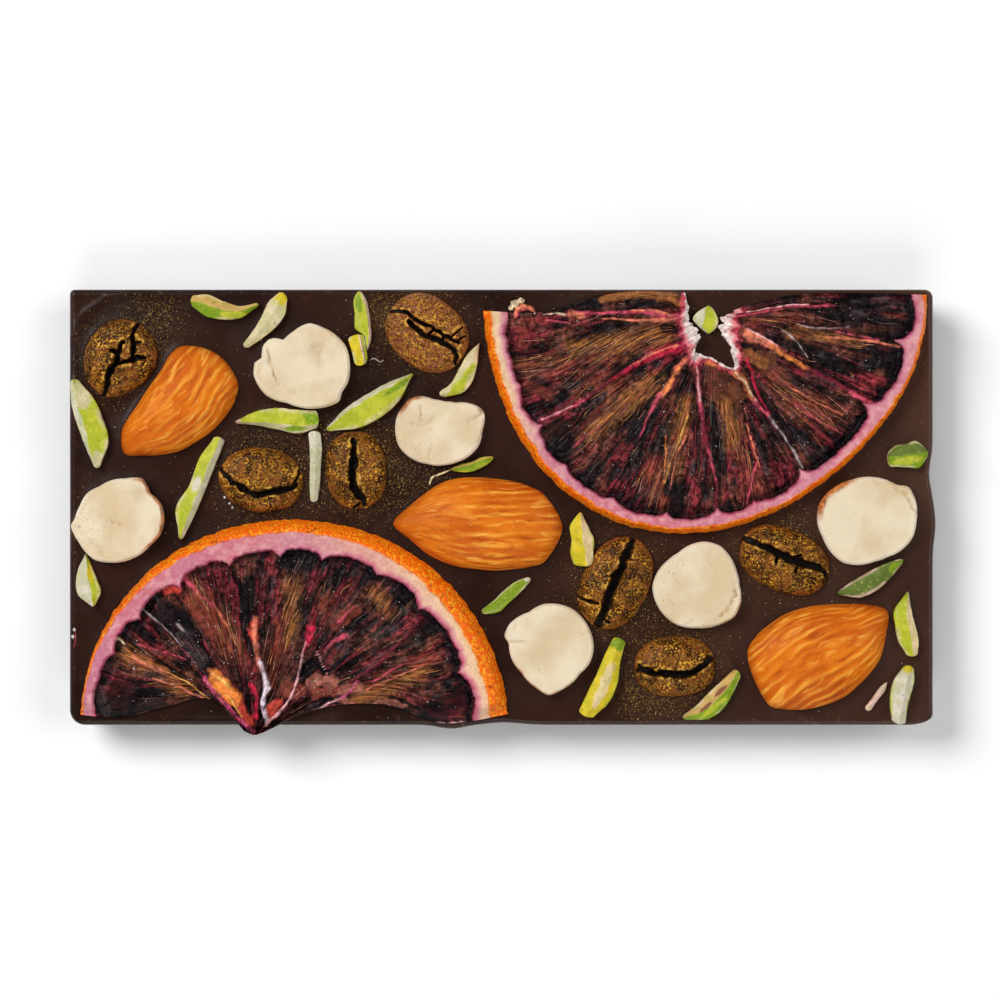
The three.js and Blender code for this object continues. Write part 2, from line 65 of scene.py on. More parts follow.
# Half is half the length. Heel and point are the ends, left and right the reach to each side at
# nine even stations from -0.8 to 0.8 of half, and bow is how far the ridges bend to the left.
# Stripes is the number of ridges across, and calm the share along where they begin to fade
Almond = namedtuple("Almond", "x y thick tip half heel point left right bow stripes calm")
ALMONDS = [
    Almond(-47.1, 15.2, 7.4, 224.5, 10.7, [(-9.4, 0.4)], 10.4,
           (4.1, 5.7, 6.3, 6.55, 6.45, 6.0, 5.4, 4.1, 2.2), (2.8, 5.3, 5.6, 5.0, 4.6, 4.2, 3.7, 3.3, 2.5),
           0.35, 11, 0.3),
    Almond(-3.4, -2.2, 8.0, 180.0, 12.4, [(-12.3, 0.6)], 12.2,
           (5.3, 6.3, 6.65, 6.85, 6.65, 6.35, 5.6, 4.3, 2.2), (3.9, 5.4, 6.15, 6.5, 6.7, 6.6, 6.0, 4.5, 2.5),
           0.0, 15, -0.1),
    Almond(46.3, -20.7, 8.0, 31.0, 11.4, [(-10.3, 2.0), (-10.5, -2.6)], 11.3,
           (5.4, 6.7, 7.15, 7.3, 7.0, 6.3, 5.2, 3.9, 2.4), (4.3, 5.8, 6.7, 7.25, 7.4, 7.0, 6.4, 5.35, 3.1),
           0.3, 14, 0.9),
]
ALMOND_SEAT = 0.28
ALMOND_RELIEF = 0.26

# Reach from the middle by direction. Dishes are x, y, breadth, depth and tan; lines are a way with
# its half width, depth and tan; husk is brown skin at the rim between two directions and how broad
# Tan darkens both brown patches and, as painted shade, the dishes, cracks and ledges
Hazelnut = namedtuple("Hazelnut", "x y reach dishes lines husk")
HAZELNUTS = [
    Hazelnut(
        -28.7, 20.6,
        {2: 6.85, 25: 6.9, 60: 6.3, 81: 6.25, 105: 5.15, 127: 4.6, 131: 5.3, 141: 6.15, 153: 6.4, 171: 5.95,
         174: 6.9, 190: 7.2, 218: 6.8, 247: 5.8, 266: 6.0, 289: 6.5, 316: 7.4, 326: 6.8, 340: 7.0},
        [(-2.6, -1.2, 3.0, 0.25, 0.18), (2.0, 2.3, 1.4, 0.3, 0.45), (2.5, 0.35, 0.7, 0.05, 0.3),
         (3.5, -3.0, 2.0, 0.12, 0.1), (-6.0, -0.6, 1.5, 0.45, 0.0), (-3.6, -4.0, 1.0, 0.25, 0.0)],
        [([(-5.0, 2.2), (-4.7, 0.35), (-4.0, -1.5), (-3.6, -2.3)], 0.15, 0.35, 0.35),
         ([(-3.1, -2.7), (-2.3, -3.45), (-0.8, -3.8)], 0.3, 0.2, 0.12),
         ([(1.7, 2.7), (3.2, 3.1), (2.5, 1.3)], 0.3, 0.12, 0.15)],
        (330, 60, 0.25),
    ),
    Hazelnut(
        -8.9, 11.2,
        {0: 6.2, 20: 7.0, 28: 6.9, 60: 4.7, 80: 4.3, 100: 4.6, 120: 5.8, 135: 6.4, 145: 6.3, 160: 6.5,
         200: 6.3, 220: 5.8, 250: 5.1, 280: 5.0, 300: 5.2, 340: 6.1},
        [(-3.4, -0.4, 2.4, 0.25, 0.08), (6.1, 3.0, 0.5, 0.3, 0.9)],
        [([(-2.6, 3.6), (-2.6, 1.2)], 0.18, 0.25, 0.25),
         ([(-4.0, 0.9), (-2.6, 0.6), (-1.2, 1.1), (-0.9, 1.7)], 0.3, 0.15, 0.12),
         ([(-0.9, 1.7), (-1.0, -1.0), (-1.3, -4.4)], 0.35, 0.12, 0.1),
         ([(4.3, 1.3), (6.2, 2.3)], 0.35, 0.3, 0.3)],
        (118, 156, 0.75),
    ),
    Hazelnut(
        -55.3, -1.6,
        {0: 6.6, 20: 6.55, 40: 5.9, 60: 6.9, 80: 6.0, 120: 5.5, 140: 5.9, 160: 5.9, 180: 6.3, 187: 7.0,
         210: 6.6, 240: 6.8, 260: 6.35, 290: 6.0, 320: 5.9, 340: 6.4},
        [(-0.3, -0.5, 1.5, 0.18, 0.16), (3.1, 3.7, 1.2, 0.2, 0.45)],
        [([(-0.8, -0.3), (-0.2, -0.7), (0.3, -0.8)], 0.24, 0.22, 0.4),
         ([(-4.5, -2.0), (-3.0, -3.8), (-2.0, -5.0)], 0.3, 0.12, 0.15)],
        (-45, 65, 0.6),
    ),
    Hazelnut(
        7.1, -20.3,
        {0: 6.3, 40: 6.45, 60: 6.6, 100: 6.5, 120: 6.1, 150: 6.9, 165: 6.9, 172: 6.0, 200: 5.7, 220: 5.4,
         250: 6.0, 268: 6.8, 285: 6.2, 320: 5.6, 340: 6.1},
        [(1.0, 0.5, 3.2, 0.14, 0.05)],
        [([(-5.9, 0.9), (-4.0, 1.0), (-3.3, 0.9)], 0.2, 0.3, 0.35)],
        (200, 300, 0.2),
    ),
    Hazelnut(
        28.4, -11.2,
        {0: 6.1, 20: 6.05, 60: 6.65, 80: 6.5, 120: 5.5, 140: 5.65, 180: 6.5, 240: 6.4, 270: 6.1, 300: 6.45,
         320: 7.0, 340: 6.75},
        [(0.2, 0.8, 3.0, 0.12, 0.05)],
        [([(3.4, -4.3), (4.6, -3.4), (5.3, -2.0), (5.6, -0.8)], 0.3, 0.35, 0.5)],
        (300, 345, 0.25),
    ),
    Hazelnut(
        52.9, -1.9,
        {0: 7.15, 20: 7.6, 40: 7.9, 50: 6.8, 80: 6.5, 110: 6.4, 160: 7.3, 180: 7.15, 200: 6.75, 240: 6.9,
         280: 5.9, 300: 5.95, 340: 7.0},
        [(-2.2, 0.4, 3.2, 0.15, 0.04)],
        [([(4.2, 4.9), (5.6, 3.9), (6.4, 2.7), (7.1, 1.4)], 0.3, 0.3, 0.45)],
        (113, 172, 1.0),
    ),
]
HAZELNUT_DEPTH = 4.4
HAZELNUT_RISE = 1.95

# A bean is a rounded oval, length by width, unless reach gives its outline. Creases and cracks are
# ways in its own frame, each with its half width
Bean = namedtuple("Bean", "x y length width turn reach creases cracks")
COFFEE_BEANS = [
    Bean(
        -55.5, 22.3, 11.8, 10.4, 69,
        {187: 6.55, 149: 5.8, 125: 5.1, 90: 4.6, 64: 4.6, 35: 4.9, 5: 5.3, -21: 5.5, -46: 5.7, -70: 5.8,
         -90: 5.8, -110: 5.6, -135: 5.6},
        [([(-6.2, -0.3), (-3.0, -0.1), (-1.5, -0.3), (2.0, -0.2)], 0.42),
         ([(-1.8, -0.2), (-0.2, -2.2), (0.6, -3.0), (0.9, -4.0)], 0.34),
         ([(-0.1, -2.4), (0.9, -2.2), (2.0, -1.9), (3.2, -1.2), (5.6, -1.1)], 0.34)],
        [([(0.2, 0.9), (0.3, -0.2)], 0.26), ([(2.4, -1.6), (2.9, -2.6)], 0.16)],
    ),
    Bean(
        -10.7, 25.4, 12.6, 10.3, -38, None,
        [([(-6.0, -0.8), (-5.0, 0.0), (-4.0, 0.5), (-2.0, 0.5), (0.0, 1.0), (2.0, 1.2), (4.5, 1.7)], 0.24),
         ([(-3.0, -0.4), (0.0, -0.6), (1.5, 0.0), (3.0, 0.3), (4.5, 0.6), (5.5, 0.1), (6.0, -1.0)], 0.3)],
        [([(3.2, 1.4), (3.5, 3.8)], 0.13), ([(4.2, 1.6), (4.6, 3.0)], 0.13), ([(0.6, 1.2), (0.2, -0.4)], 0.2),
         ([(2.2, 1.2), (2.6, 0.2)], 0.24)],
    ),
    Bean(
        -34.6, 4.5, 12.4, 9.6, -4,
        {183: 6.5, 149: 5.7, 128: 4.9, 90: 4.2, 52: 4.8, 27: 5.5, 0: 6.0, -19: 6.1, -42: 5.9, -67: 5.1,
         -113: 5.2, -134: 5.7, -156: 6.0},
        [([(-6.0, 0.8), (-5.0, -0.4), (-4.0, -1.0), (-2.8, -1.6), (-1.5, -2.4), (-0.5, -2.7)], 0.4),
         ([(-0.5, -2.7), (1.0, -2.1), (3.0, -1.7), (4.3, -1.3), (5.0, -0.8)], 0.42)],
        [([(4.6, -0.8), (5.2, 0.6), (5.4, 1.6)], 0.16)],
    ),
    Bean(
        -21.0, 5.5, 11.4, 8.8, 95, None,
        [([(-5.0, -0.9), (-4.3, -0.8), (-3.6, -0.1), (-2.5, 0.4), (0.0, 0.4), (2.0, 0.1), (4.2, -0.1)], 0.5)],
        [([(-4.6, -0.2), (-5.2, 0.9)], 0.15)],
    ),
    Bean(
        16.6, -10.8, 14.0, 9.7, 64, None,
        [([(-6.5, -0.3), (-4.0, -0.3), (-2.0, 0.1), (0.0, 0.3), (3.0, 0.4), (6.4, 0.5)], 0.62)],
        [([(-4.1, 4.5), (-4.1, 2.0), (-3.8, 1.0)], 0.2), ([(-5.4, -0.4), (-5.6, -1.8)], 0.18)],
    ),
    Bean(
        41.0, -7.5, 13.6, 9.2, -24, None,
        [([(-6.4, 0.5), (-3.0, 0.6), (1.0, 0.4), (3.0, 0.6), (5.0, 1.2), (6.3, 0.7)], 0.5)],
        [([(-1.1, 0.4), (-0.95, -0.6)], 0.22), ([(1.9, 0.4), (2.0, -1.0)], 0.2),
         ([(0.2, 0.4), (1.8, 1.6)], 0.16)],
    ),
    Bean(
        25.2, -22.9, 11.8, 8.8, 3, None,
        [([(-5.4, -0.2), (-4.5, -0.3), (-3.0, -0.8), (-1.0, -1.0), (1.0, -1.2), (2.5, -0.9), (4.0, 0.0),
           (5.1, 0.7)], 0.45)],
        [([(-5.0, -0.3), (-5.2, 0.4)], 0.4), ([(4.4, 0.3), (4.9, 1.0)], 0.4)],
    ),
]
BEAN_RISE = 2.5
BEAN_DEPTH = 3.0
RUDDY_BEAN = 2

# Left, right and crease are offsets at even stations from start to end; tones are those of the left
# facet, the right facet and the rim; patches are a tone, a place, a length and a breadth
Sliver = namedtuple("Sliver", "start end left right crease tones patches")
PISTACHIOS = [
    Sliver((-44.9, 30.2), (-35.1, 29.7), (0.6, 0.8, -0.1, -0.6, 0), (-0.9, -2.3, -2.6, -2.2, -0.5),
           (-0.2, -0.7, -1.3, -1.3, -0.3), ("sand", "green", "cream"), [("lime", 6.5, -1.9, 2.4, 0.5)]),
    Sliver((-31.4, 31.1), (-37.2, 23.4), (0.7, 1.9, 1.9, 1.3, 0.5), (-0.6, -1.0, -0.5, -0.3, -0.3),
           (0, 0.4, 0.6, 0.5, 0.2), ("pale", "pale", "cream"), [("yellow", 0.3, 0.2, 1.4, 1.3)]),
    Sliver((-20.5, 31.4), (-19.4, 22.9), (0.3, 0.7, 0.9, 0.97, 1.0, 0.95, 0.88, 0.62, 0.1),
           (-0.4, -0.9, -1.05, -1.05, -1.2, -1.2, -0.1, -0.05, -0.05),
           (0, 0.45, 0.6, 0.65, 0.7, 0.68, 0.6, 0.35, 0), ("blush", "lime", "pale"),
           [("green", 1.6, -0.3, 1.4, 0.5)]),
    Sliver((-21.0, 25.1), (-20.1, 20.7), (1.1, 1.1, 1.0, 0.95, 0.6), (-1.2, -1.1, -1.0, -1.0, -0.9),
           (0.5, 0.5, 0.5, 0.5, 0.3), ("lime", "yellow", "pale"), [("blush", 2.3, 0.5, 2.2, 0.18)]),
    Sliver((-61.7, 18.7), (-58.6, 5.8), (0.4, 2.0, 2.6, 2.6, 0.6), (-0.7, -1.2, -1.1, -0.7, -0.2),
           (-0.2, -0.5, -0.3, -0.2, 0), ("lime", "mint", "pale"),
           [("pale", 2.4, 0.6, 2.4, 1.4), ("pale", 12.4, 0.8, 1.6, 1.2)]),
    Sliver((-25.3, 11.5), (-12.8, 19.5), (0.1, 0.9, 1.0, 0.8, 0.1), (-0.5, -2.3, -2.8, -2.2, -0.2),
           (0, 0.4, 0.4, 0.2, 0), ("mint", "lime", "pale"), [("green", 12.0, -0.5, 2.4, 0.4)]),
    Sliver((-38.4, 12.5), (-26.4, 13.0), (0.2, 1.35, 1.7, 1.35, 1.1), (-0.2, -0.6, -1.3, -2.0, -1.3),
           (0, -0.2, -0.5, -1.0, -0.8), ("lime", "pale", "pale"),
           [("green", 11.6, 0.3, 1.8, 1.2), ("green", 8.7, -1.35, 1.6, 0.45), ("blush", 0.3, 0.0, 0.6, 0.5)]),
    Sliver((-9.1, 16.6), (-3.1, 23.9), (0, -0.5, -0.1, 0.3, 0), (-1.0, -2.6, -2.6, -1.5, -0.1),
           (-0.5, -1.5, -1.3, -0.5, 0), ("pale", "pale", "cream"),
           [("lime", 2.4, -1.7, 2.6, 0.8), ("lime", 5.4, -1.4, 1.6, 0.5)]),
    Sliver((-40.7, 10.3), (-46.5, -4.4), (0.8, 0.8, 0.8, 0.7, 0.4), (-0.7, -1.6, -1.5, -2.1, -0.2),
           (0.2, 0.1, 0.1, 0, 0.1), ("mint", "lime", "pale"), [("mint", 7.4, -0.6, 1.3, 0.6)]),
    Sliver((-27.1, 11.2), (-26.9, 0.9), (0.9, 1.1, 0.9, 0.7, 0.3), (-0.8, -0.6, -0.6, -0.7, -0.7),
           (0.2, 0.3, 0.2, 0, -0.2), ("mint", "mint", "white"), []),
    Sliver((-7.2, 5.5), (-1.1, 7.3), (0.3, 0.4, 0.35, 0.5, 0.3), (-0.1, -0.75, -1.0, -0.8, -0.2),
           (0.1, 0.1, 0.1, 0.1, 0.1), ("sand", "green", "lime"), []),
    Sliver((-60.1, -6.6), (-59.0, -14.2), (0.1, 0.55, 1.0, 1.3, 0.2), (-0.1, -1.3, -1.95, -1.85, -0.3),
           (0, 0.05, -0.1, 0, 0.1), ("lime", "white", "pale"), [("yellow", 2.6, 0.4, 1.6, 0.5)]),
    Sliver((11.5, -0.6), (11.6, -8.4), (0.2, 1.0, 1.85, 1.75, 1.8), (-0.3, -1.5, -1.3, -1.5, -1.0),
           (0, 0.1, 0.3, 0.6, 0.9), ("cream", "yellow", "lime"), []),
    Sliver((-2.9, -14.9), (4.4, -10.4), (0.1, 0.3, 0.75, 1.0, 0.6), (-0.6, -1.4, -1.0, -0.6, 0),
           (0, -0.2, 0.1, 0.4, 0.3), ("green", "green", "pale"), [("white", 8.2, 0.4, 0.5, 0.3)]),
    Sliver((17.0, -18.7), (12.2, -30.1), (1.2, 1.6, 2.4, 2.3, 1.0), (-0.6, -0.8, -0.8, -1.0, -1.1),
           (0.3, 0.5, 0.8, 0.7, 0), ("yellow", "yellow", "lime"),
           [("cream", 7.0, 0.7, 3.6, 0.7), ("green", 0.7, 0.4, 1.2, 1.3)]),
    Sliver((29.9, 25.3), (30.1, 29.3), (0.2, 1.35, 2.2, 1.6, 0.4), (-0.5, -1.2, -1.4, -0.95, -0.4),
           (0, 0.9, 0.8, 0.75, 0.3), ("mint", "lime", "pale"), [("white", 2.4, 0.8, 1.2, 0.25)]),
    Sliver((26.4, -30.4), (34.4, -23.6), (0.3, 0.15, 0.4, 0.5, 0.6), (-0.4, -2.3, -2.6, -1.8, -0.7),
           (0, -0.9, -1.1, -0.6, 0), ("sand", "green", "pale"),
           [("lime", 4.5, -1.6, 2.5, 0.4), ("bark", 6.8, -0.4, 1.4, 0.35), ("bark", 3.6, -0.8, 1.2, 0.25)]),
    Sliver((55.9, 7.4), (61.7, 8.2), (0.6, 1.5, 1.5, 1.7, 0.5), (-1.4, -1.6, -1.9, -2.1, -0.8),
           (0, 0, -0.1, -0.1, 0), ("dark", "green", "pale"), [("lime", 3.0, -0.9, 2.2, 0.6)]),
    Sliver((48.8, -12.4), (58.2, -7.6), (0.3, 0.65, 0.8, 0.8, 0.4), (-0.3, -1.9, -2.0, -1.3, -0.2),
           (0, -0.3, -0.4, -0.1, 0), ("dark", "dark", "blush"), [("green", 9.4, -0.4, 1.4, 0.7)]),
    Sliver((58.8, -12.1), (60.0, -21.4), (0.2, 0.2, 0.45, 0.7, 0.3), (-0.1, -2.1, -2.3, -2.1, -1.1),
           (0, -0.5, -0.5, -0.5, -0.4), ("cream", "lime", "pale"), []),
    Sliver((59.3, -22.8), (57.5, -31.2), (0.5, 0.9, 0.8, 0.8, 1.0), (-0.8, -1.8, -2.0, -1.6, -0.9),
           (0, -0.2, -0.2, -0.1, 0), ("white", "white", "lime"), [("yellow", 0.4, -0.3, 0.7, 0.7)]),
    Sliver((55.9, -25.2), (53.0, -29.3), (0.1, 0.45, 0.35, 0.35, 0.4), (-0.1, -0.35, -0.4, -0.4, -0.5),
           (0, 0.1, 0, 0, 0), ("blush", "blush", "white"), []),
]
SLIVER_TALLEST = 2.4
END_ROUND = 0.5
SLIVER_TONES = {
    "white": (0.62, 0.56, 0.43),
    "cream": (0.74, 0.57, 0.30),
    "pale": (0.64, 0.55, 0.32),
    "mint": (0.60, 0.56, 0.40),
    "sand": (0.56, 0.35, 0.10),
    "yellow": (0.66, 0.50, 0.020),
    "lime": (0.47, 0.49, 0.030),
    "green": (0.22, 0.33, 0.014),
    "dark": (0.125, 0.170, 0.028),
    "blush": (0.74, 0.49, 0.40),
    "bark": (0.24, 0.080, 0.040),
}

# Joints are where two segments meet the pith: a direction and how far the pith comes in. Films are
# smooth skins and hollows: a tone, half width, strength, height and way. Strands have a half width at
# each end, a height and a way. Patches are light fibrous pulp: a tone, strength, half width and way
UPPER_SLICE = {
    "node": "orange_slice_upper",
    "centre": (28.5, 29.0),
    "radius": 32.1,
    "waver": (3, 1.0, 249.0),
    "arc": (180.7, 363.4),
    "skin": (1.3, 0.8, 0.8),
    "pith": (2.0, 1.5, 1.6),
    "core": [
        (26.6, 31.2), (27.1, 27.9), (28.4, 24.7), (28.0, 22.5), (30.3, 21.8),
        (33.6, 20.3), (33.3, 23.0), (31.8, 26.6), (34.0, 28.8),
    ],
    "fuzz": (0.3, 1.6, 2.9, 1.6, 0.5, 0.5, 2.1, 3.0, 1.6),
    "cream": (1.0, 0.8, 0.1, 0.0, 0.0, 0.0, 0.05, 0.1, 0.15),
    # Deep is how far the pulp sinks beside the pith along the arc, where it is painted black as shade
    "deep": (0.0, 0.1, 0.3, 0.5, 0.6, 0.7, 0.9, 1.0, 1.0),
    "near": [(26.6, 31.2), (19.0, 31.4), (13.0, 30.4), (6.0, 28.4), (-2.6, 28.6)],
    "far": [(34.0, 28.8), (40.5, 30.6), (47.0, 31.1), (54.0, 31.1), (61.6, 30.9)],
    "joints": [(203, 0.2), (216, 1.0), (229, 0.2), (245.6, 0.5), (261, 0.6), (275, 0.9), (285.5, 0.5),
               (302, 1.3), (330, 1.8), (350, 1.5)],
    "films": [
        # Black films that sink are painted shade in hollows; the others are dark pulp
        ("black", 0.8, 0.9, -0.9, [(23.9, 26.0), (25.0, 25.7)]),
        ("black", 0.6, 0.9, -0.7, [(22.9, 18.9), (23.3, 18.4)]),
        ("black", 1.2, 0.6, 0.1, [(4.3, 22.7), (5.0, 22.0)]),
        ("black", 1.3, 0.6, 0.1, [(4.6, 18.3), (6.4, 17.4)]),
        ("black", 1.6, 0.7, -0.3, [(8.4, 11.6), (9.6, 9.8)]),
        ("black", 1.0, 0.7, -0.3, [(18.4, 9.8), (20.8, 12.0)]),
        ("umber", 1.9, 0.5, 0.3, [(31.2, 19.0), (32.0, 17.0)]),
        ("umber", 1.3, 0.8, 0.3, [(33.6, 17.6), (34.2, 16.0)]),
        ("umber", 0.9, 0.8, 0.4, [(37.6, 22.4), (39.4, 21.4)]),
        ("umber", 0.8, 0.7, 0.2, [(22.2, 26.4), (20.0, 25.8)]),
        ("rust", 0.9, 0.4, 0.2, [(3.6, 18.0), (6.8, 16.2)]),
        ("rust", 0.7, 0.5, 0.2, [(2.8, 25.8), (3.2, 23.6)]),
        ("tawny", 0.6, 0.8, 0.4, [(14.8, 30.3), (19.2, 30.9)]),
        ("tawny", 0.6, 0.8, 0.5, [(23.0, 30.7), (26.4, 29.6)]),
        ("black", 0.7, 0.8, 0.1, [(12.6, 29.9), (14.2, 29.2)]),
        ("black", 0.7, 0.8, 0.1, [(20.2, 29.7), (21.8, 29.6)]),
        ("tawny", 1.1, 0.6, 0.4, [(35.6, 22.2), (37.6, 21.0)]),
    ],
    "strands": [
        ("rose", 0.50, 0.26, 0.5, [(26.5, 28.1), (24.2, 27.6), (21.0, 28.4), (18.5, 28.6)]),
        ("coral", 0.24, 0.16, 0.3, [(24.6, 27.9), (21.4, 28.6), (18.8, 28.8)]),
        ("rose", 0.26, 0.22, 0.4, [(18.5, 28.6), (14.5, 28.4), (11.0, 28.2), (9.7, 27.8)]),
        ("coral", 0.46, 0.30, 0.4, [(10.2, 27.9), (11.8, 27.9)]),
        ("coral", 0.30, 0.10, 0.4, [(25.4, 27.3), (21.5, 27.2), (17.0, 27.3), (13.5, 27.6)]),
        ("cream", 0.12, 0.10, 0.5, [(9.4, 27.9), (7.9, 28.3), (6.4, 28.2)]),
        ("rose", 0.12, 0.12, 0.3, [(9.7, 27.0), (6.5, 27.2)]),
        ("red", 0.85, 0.18, 0.6, [(26.4, 23.6), (22.5, 22.3), (19.3, 20.7), (15.7, 18.3)]),
        # Painted highlight along the red strand
        ("coral", 0.20, 0.08, 0.3, [(25.6, 23.6), (22.2, 22.4), (18.6, 20.6)]),
        ("wine", 0.22, 0.18, 0.3, [(15.7, 18.3), (12.1, 15.5)]),
        ("rose", 0.20, 0.30, 0.4, [(12.1, 15.5), (9.3, 14.4), (5.7, 12.6)]),
        # Painted highlight along the rose strand
        ("pink", 0.08, 0.14, 0.3, [(10.4, 15.0), (8.2, 13.9), (5.9, 12.7)]),
        ("coral", 0.46, 0.40, 0.5, [(27.2, 21.7), (25.7, 20.3), (24.5, 18.3), (22.9, 16.4)]),
        ("amber", 0.22, 0.26, 0.3, [(25.9, 20.5), (24.7, 18.6), (23.6, 17.2)]),
        ("rose", 0.30, 0.10, 0.4, [(22.6, 16.6), (21.9, 14.7), (21.3, 13.2), (20.1, 10.2)]),
        ("rose", 0.16, 0.08, 0.3, [(15.3, 12.8), (12.6, 10.7), (10.4, 8.7)]),
        ("rose", 0.46, 0.30, 0.6, [(28.1, 22.0), (28.4, 19.0), (28.8, 15.9), (29.2, 13.0)]),
        # Painted highlight along the rose strand
        ("pink", 0.14, 0.20, 0.4, [(28.3, 20.4), (28.5, 18.0), (28.9, 15.4)]),
        ("wine", 0.34, 0.28, 0.4, [(29.0, 13.4), (29.4, 10.3), (29.9, 7.8)]),
        ("rose", 0.24, 0.18, 0.4, [(29.9, 8.4), (30.7, 6.0), (31.0, 3.8)]),
        ("wine", 0.24, 0.20, 0.3, [(31.0, 3.8), (31.1, 2.1), (30.9, 0.1)]),
        ("gold", 0.12, 0.08, 0.4, [(27.1, 13.5), (25.5, 9.5), (24.5, 6.7), (23.6, 3.8)]),
        ("amber", 0.10, 0.08, 0.3, [(23.9, 10.3), (23.5, 3.8)]),
        ("coral", 0.12, 0.10, 0.3, [(26.8, 10.6), (25.5, 8.2), (24.9, 5.4), (24.5, 2.9)]),
        ("rose", 0.18, 0.10, 0.3, [(36.8, 6.6), (36.0, 2.8), (35.6, 0.4)]),
        ("coral", 0.14, 0.08, 0.3, [(35.3, 12.2), (36.4, 8.8), (37.3, 6.0)]),
        ("amber", 0.50, 0.36, 0.6, [(29.8, 21.3), (32.9, 20.3), (34.9, 18.7), (36.4, 15.9)]),
        ("cream", 0.20, 0.16, 0.3, [(31.6, 21.0), (33.6, 19.9), (35.2, 18.1), (36.8, 15.6)]),
        ("rose", 0.34, 0.26, 0.4, [(36.4, 15.9), (37.4, 14.4), (38.7, 13.2)]),
        ("grey", 0.20, 0.16, 0.4, [(38.7, 13.2), (41.0, 10.0), (43.7, 5.9)]),
        ("red", 0.24, 0.14, 0.4, [(35.7, 21.4), (36.4, 18.4), (37.2, 16.4), (38.7, 13.6)]),
        ("coral", 0.80, 0.44, 0.6, [(35.3, 25.2), (37.4, 24.4), (40.0, 22.9)]),
        ("pink", 0.18, 0.12, 0.3, [(35.6, 25.8), (37.8, 24.8), (40.0, 23.4)]),
        ("amber", 0.46, 0.30, 0.6, [(39.4, 23.1), (42.2, 21.5), (44.6, 20.2)]),
        ("wine", 0.34, 0.26, 0.4, [(44.6, 20.2), (47.8, 18.6), (50.6, 16.8)]),
        ("rose", 0.28, 0.40, 0.4, [(50.6, 16.8), (52.2, 16.0), (54.0, 15.0)]),
        ("rose", 0.34, 0.14, 0.5, [(34.6, 28.1), (39.7, 28.8), (44.1, 29.4), (48.0, 29.2)]),
        ("pink", 0.12, 0.08, 0.3, [(35.6, 28.5), (40.4, 29.1), (44.6, 29.6)]),
        ("coral", 0.10, 0.20, 0.3, [(47.0, 24.9), (50.6, 24.4), (54.6, 23.9), (57.4, 23.4)]),
        ("rose", 0.08, 0.12, 0.3, [(46.4, 26.2), (50.4, 25.2), (54.4, 24.2)]),
        ("grey", 0.12, 0.08, 0.3, [(40.6, 25.6), (43.2, 23.8), (44.4, 21.9)]),
        ("grey", 0.10, 0.06, 0.3, [(42.8, 26.6), (47.0, 26.0), (50.4, 26.3)]),
        ("rose", 0.14, 0.08, 0.3, [(42.6, 15.0), (46.4, 12.4), (49.4, 10.8)]),
        ("coral", 0.12, 0.06, 0.3, [(41.8, 17.6), (45.6, 15.2), (49.6, 13.4)]),
    ],
    "patches": [
        ("gold", 1.0, 1.3, [(23.0, 25.2), (17.0, 23.9), (11.0, 22.6)]),
        ("rust", 0.7, 1.4, [(12.0, 22.2), (7.6, 21.0), (3.6, 19.8)]),
        ("gold", 0.9, 1.1, [(22.3, 18.2), (17.0, 14.4), (13.0, 11.4)]),
        ("rust", 0.6, 1.0, [(14.4, 13.4), (11.2, 10.4)]),
        ("gold", 0.6, 1.0, [(26.8, 15.2), (25.6, 9.6), (24.6, 5.2)]),
        ("rust", 0.8, 1.1, [(21.6, 6.4), (22.2, 3.0), (23.6, 0.6)]),
        ("gold", 0.9, 1.0, [(32.4, 15.4), (33.4, 12.4), (33.8, 9.4)]),
        ("rust", 0.6, 1.2, [(34.4, 9.6), (35.6, 5.6), (36.6, 2.4)]),
        ("rust", 0.7, 1.6, [(39.6, 18.6), (43.0, 15.6), (46.4, 12.8)]),
        ("gold", 0.5, 0.8, [(41.4, 16.4), (45.2, 13.6)]),
        ("gold", 0.6, 0.7, [(42.0, 25.4), (47.0, 24.8), (52.0, 24.2)]),
        ("gold", 1.0, 0.5, [(15.5, 31.0), (21.0, 30.9), (25.0, 30.6)]),
        ("rust", 0.6, 1.0, [(36.6, 27.2), (42.0, 27.6)]),
        ("rust", 0.6, 0.9, [(17.0, 17.6), (12.4, 19.0)]),
    ],
    "fibres": 620,
}
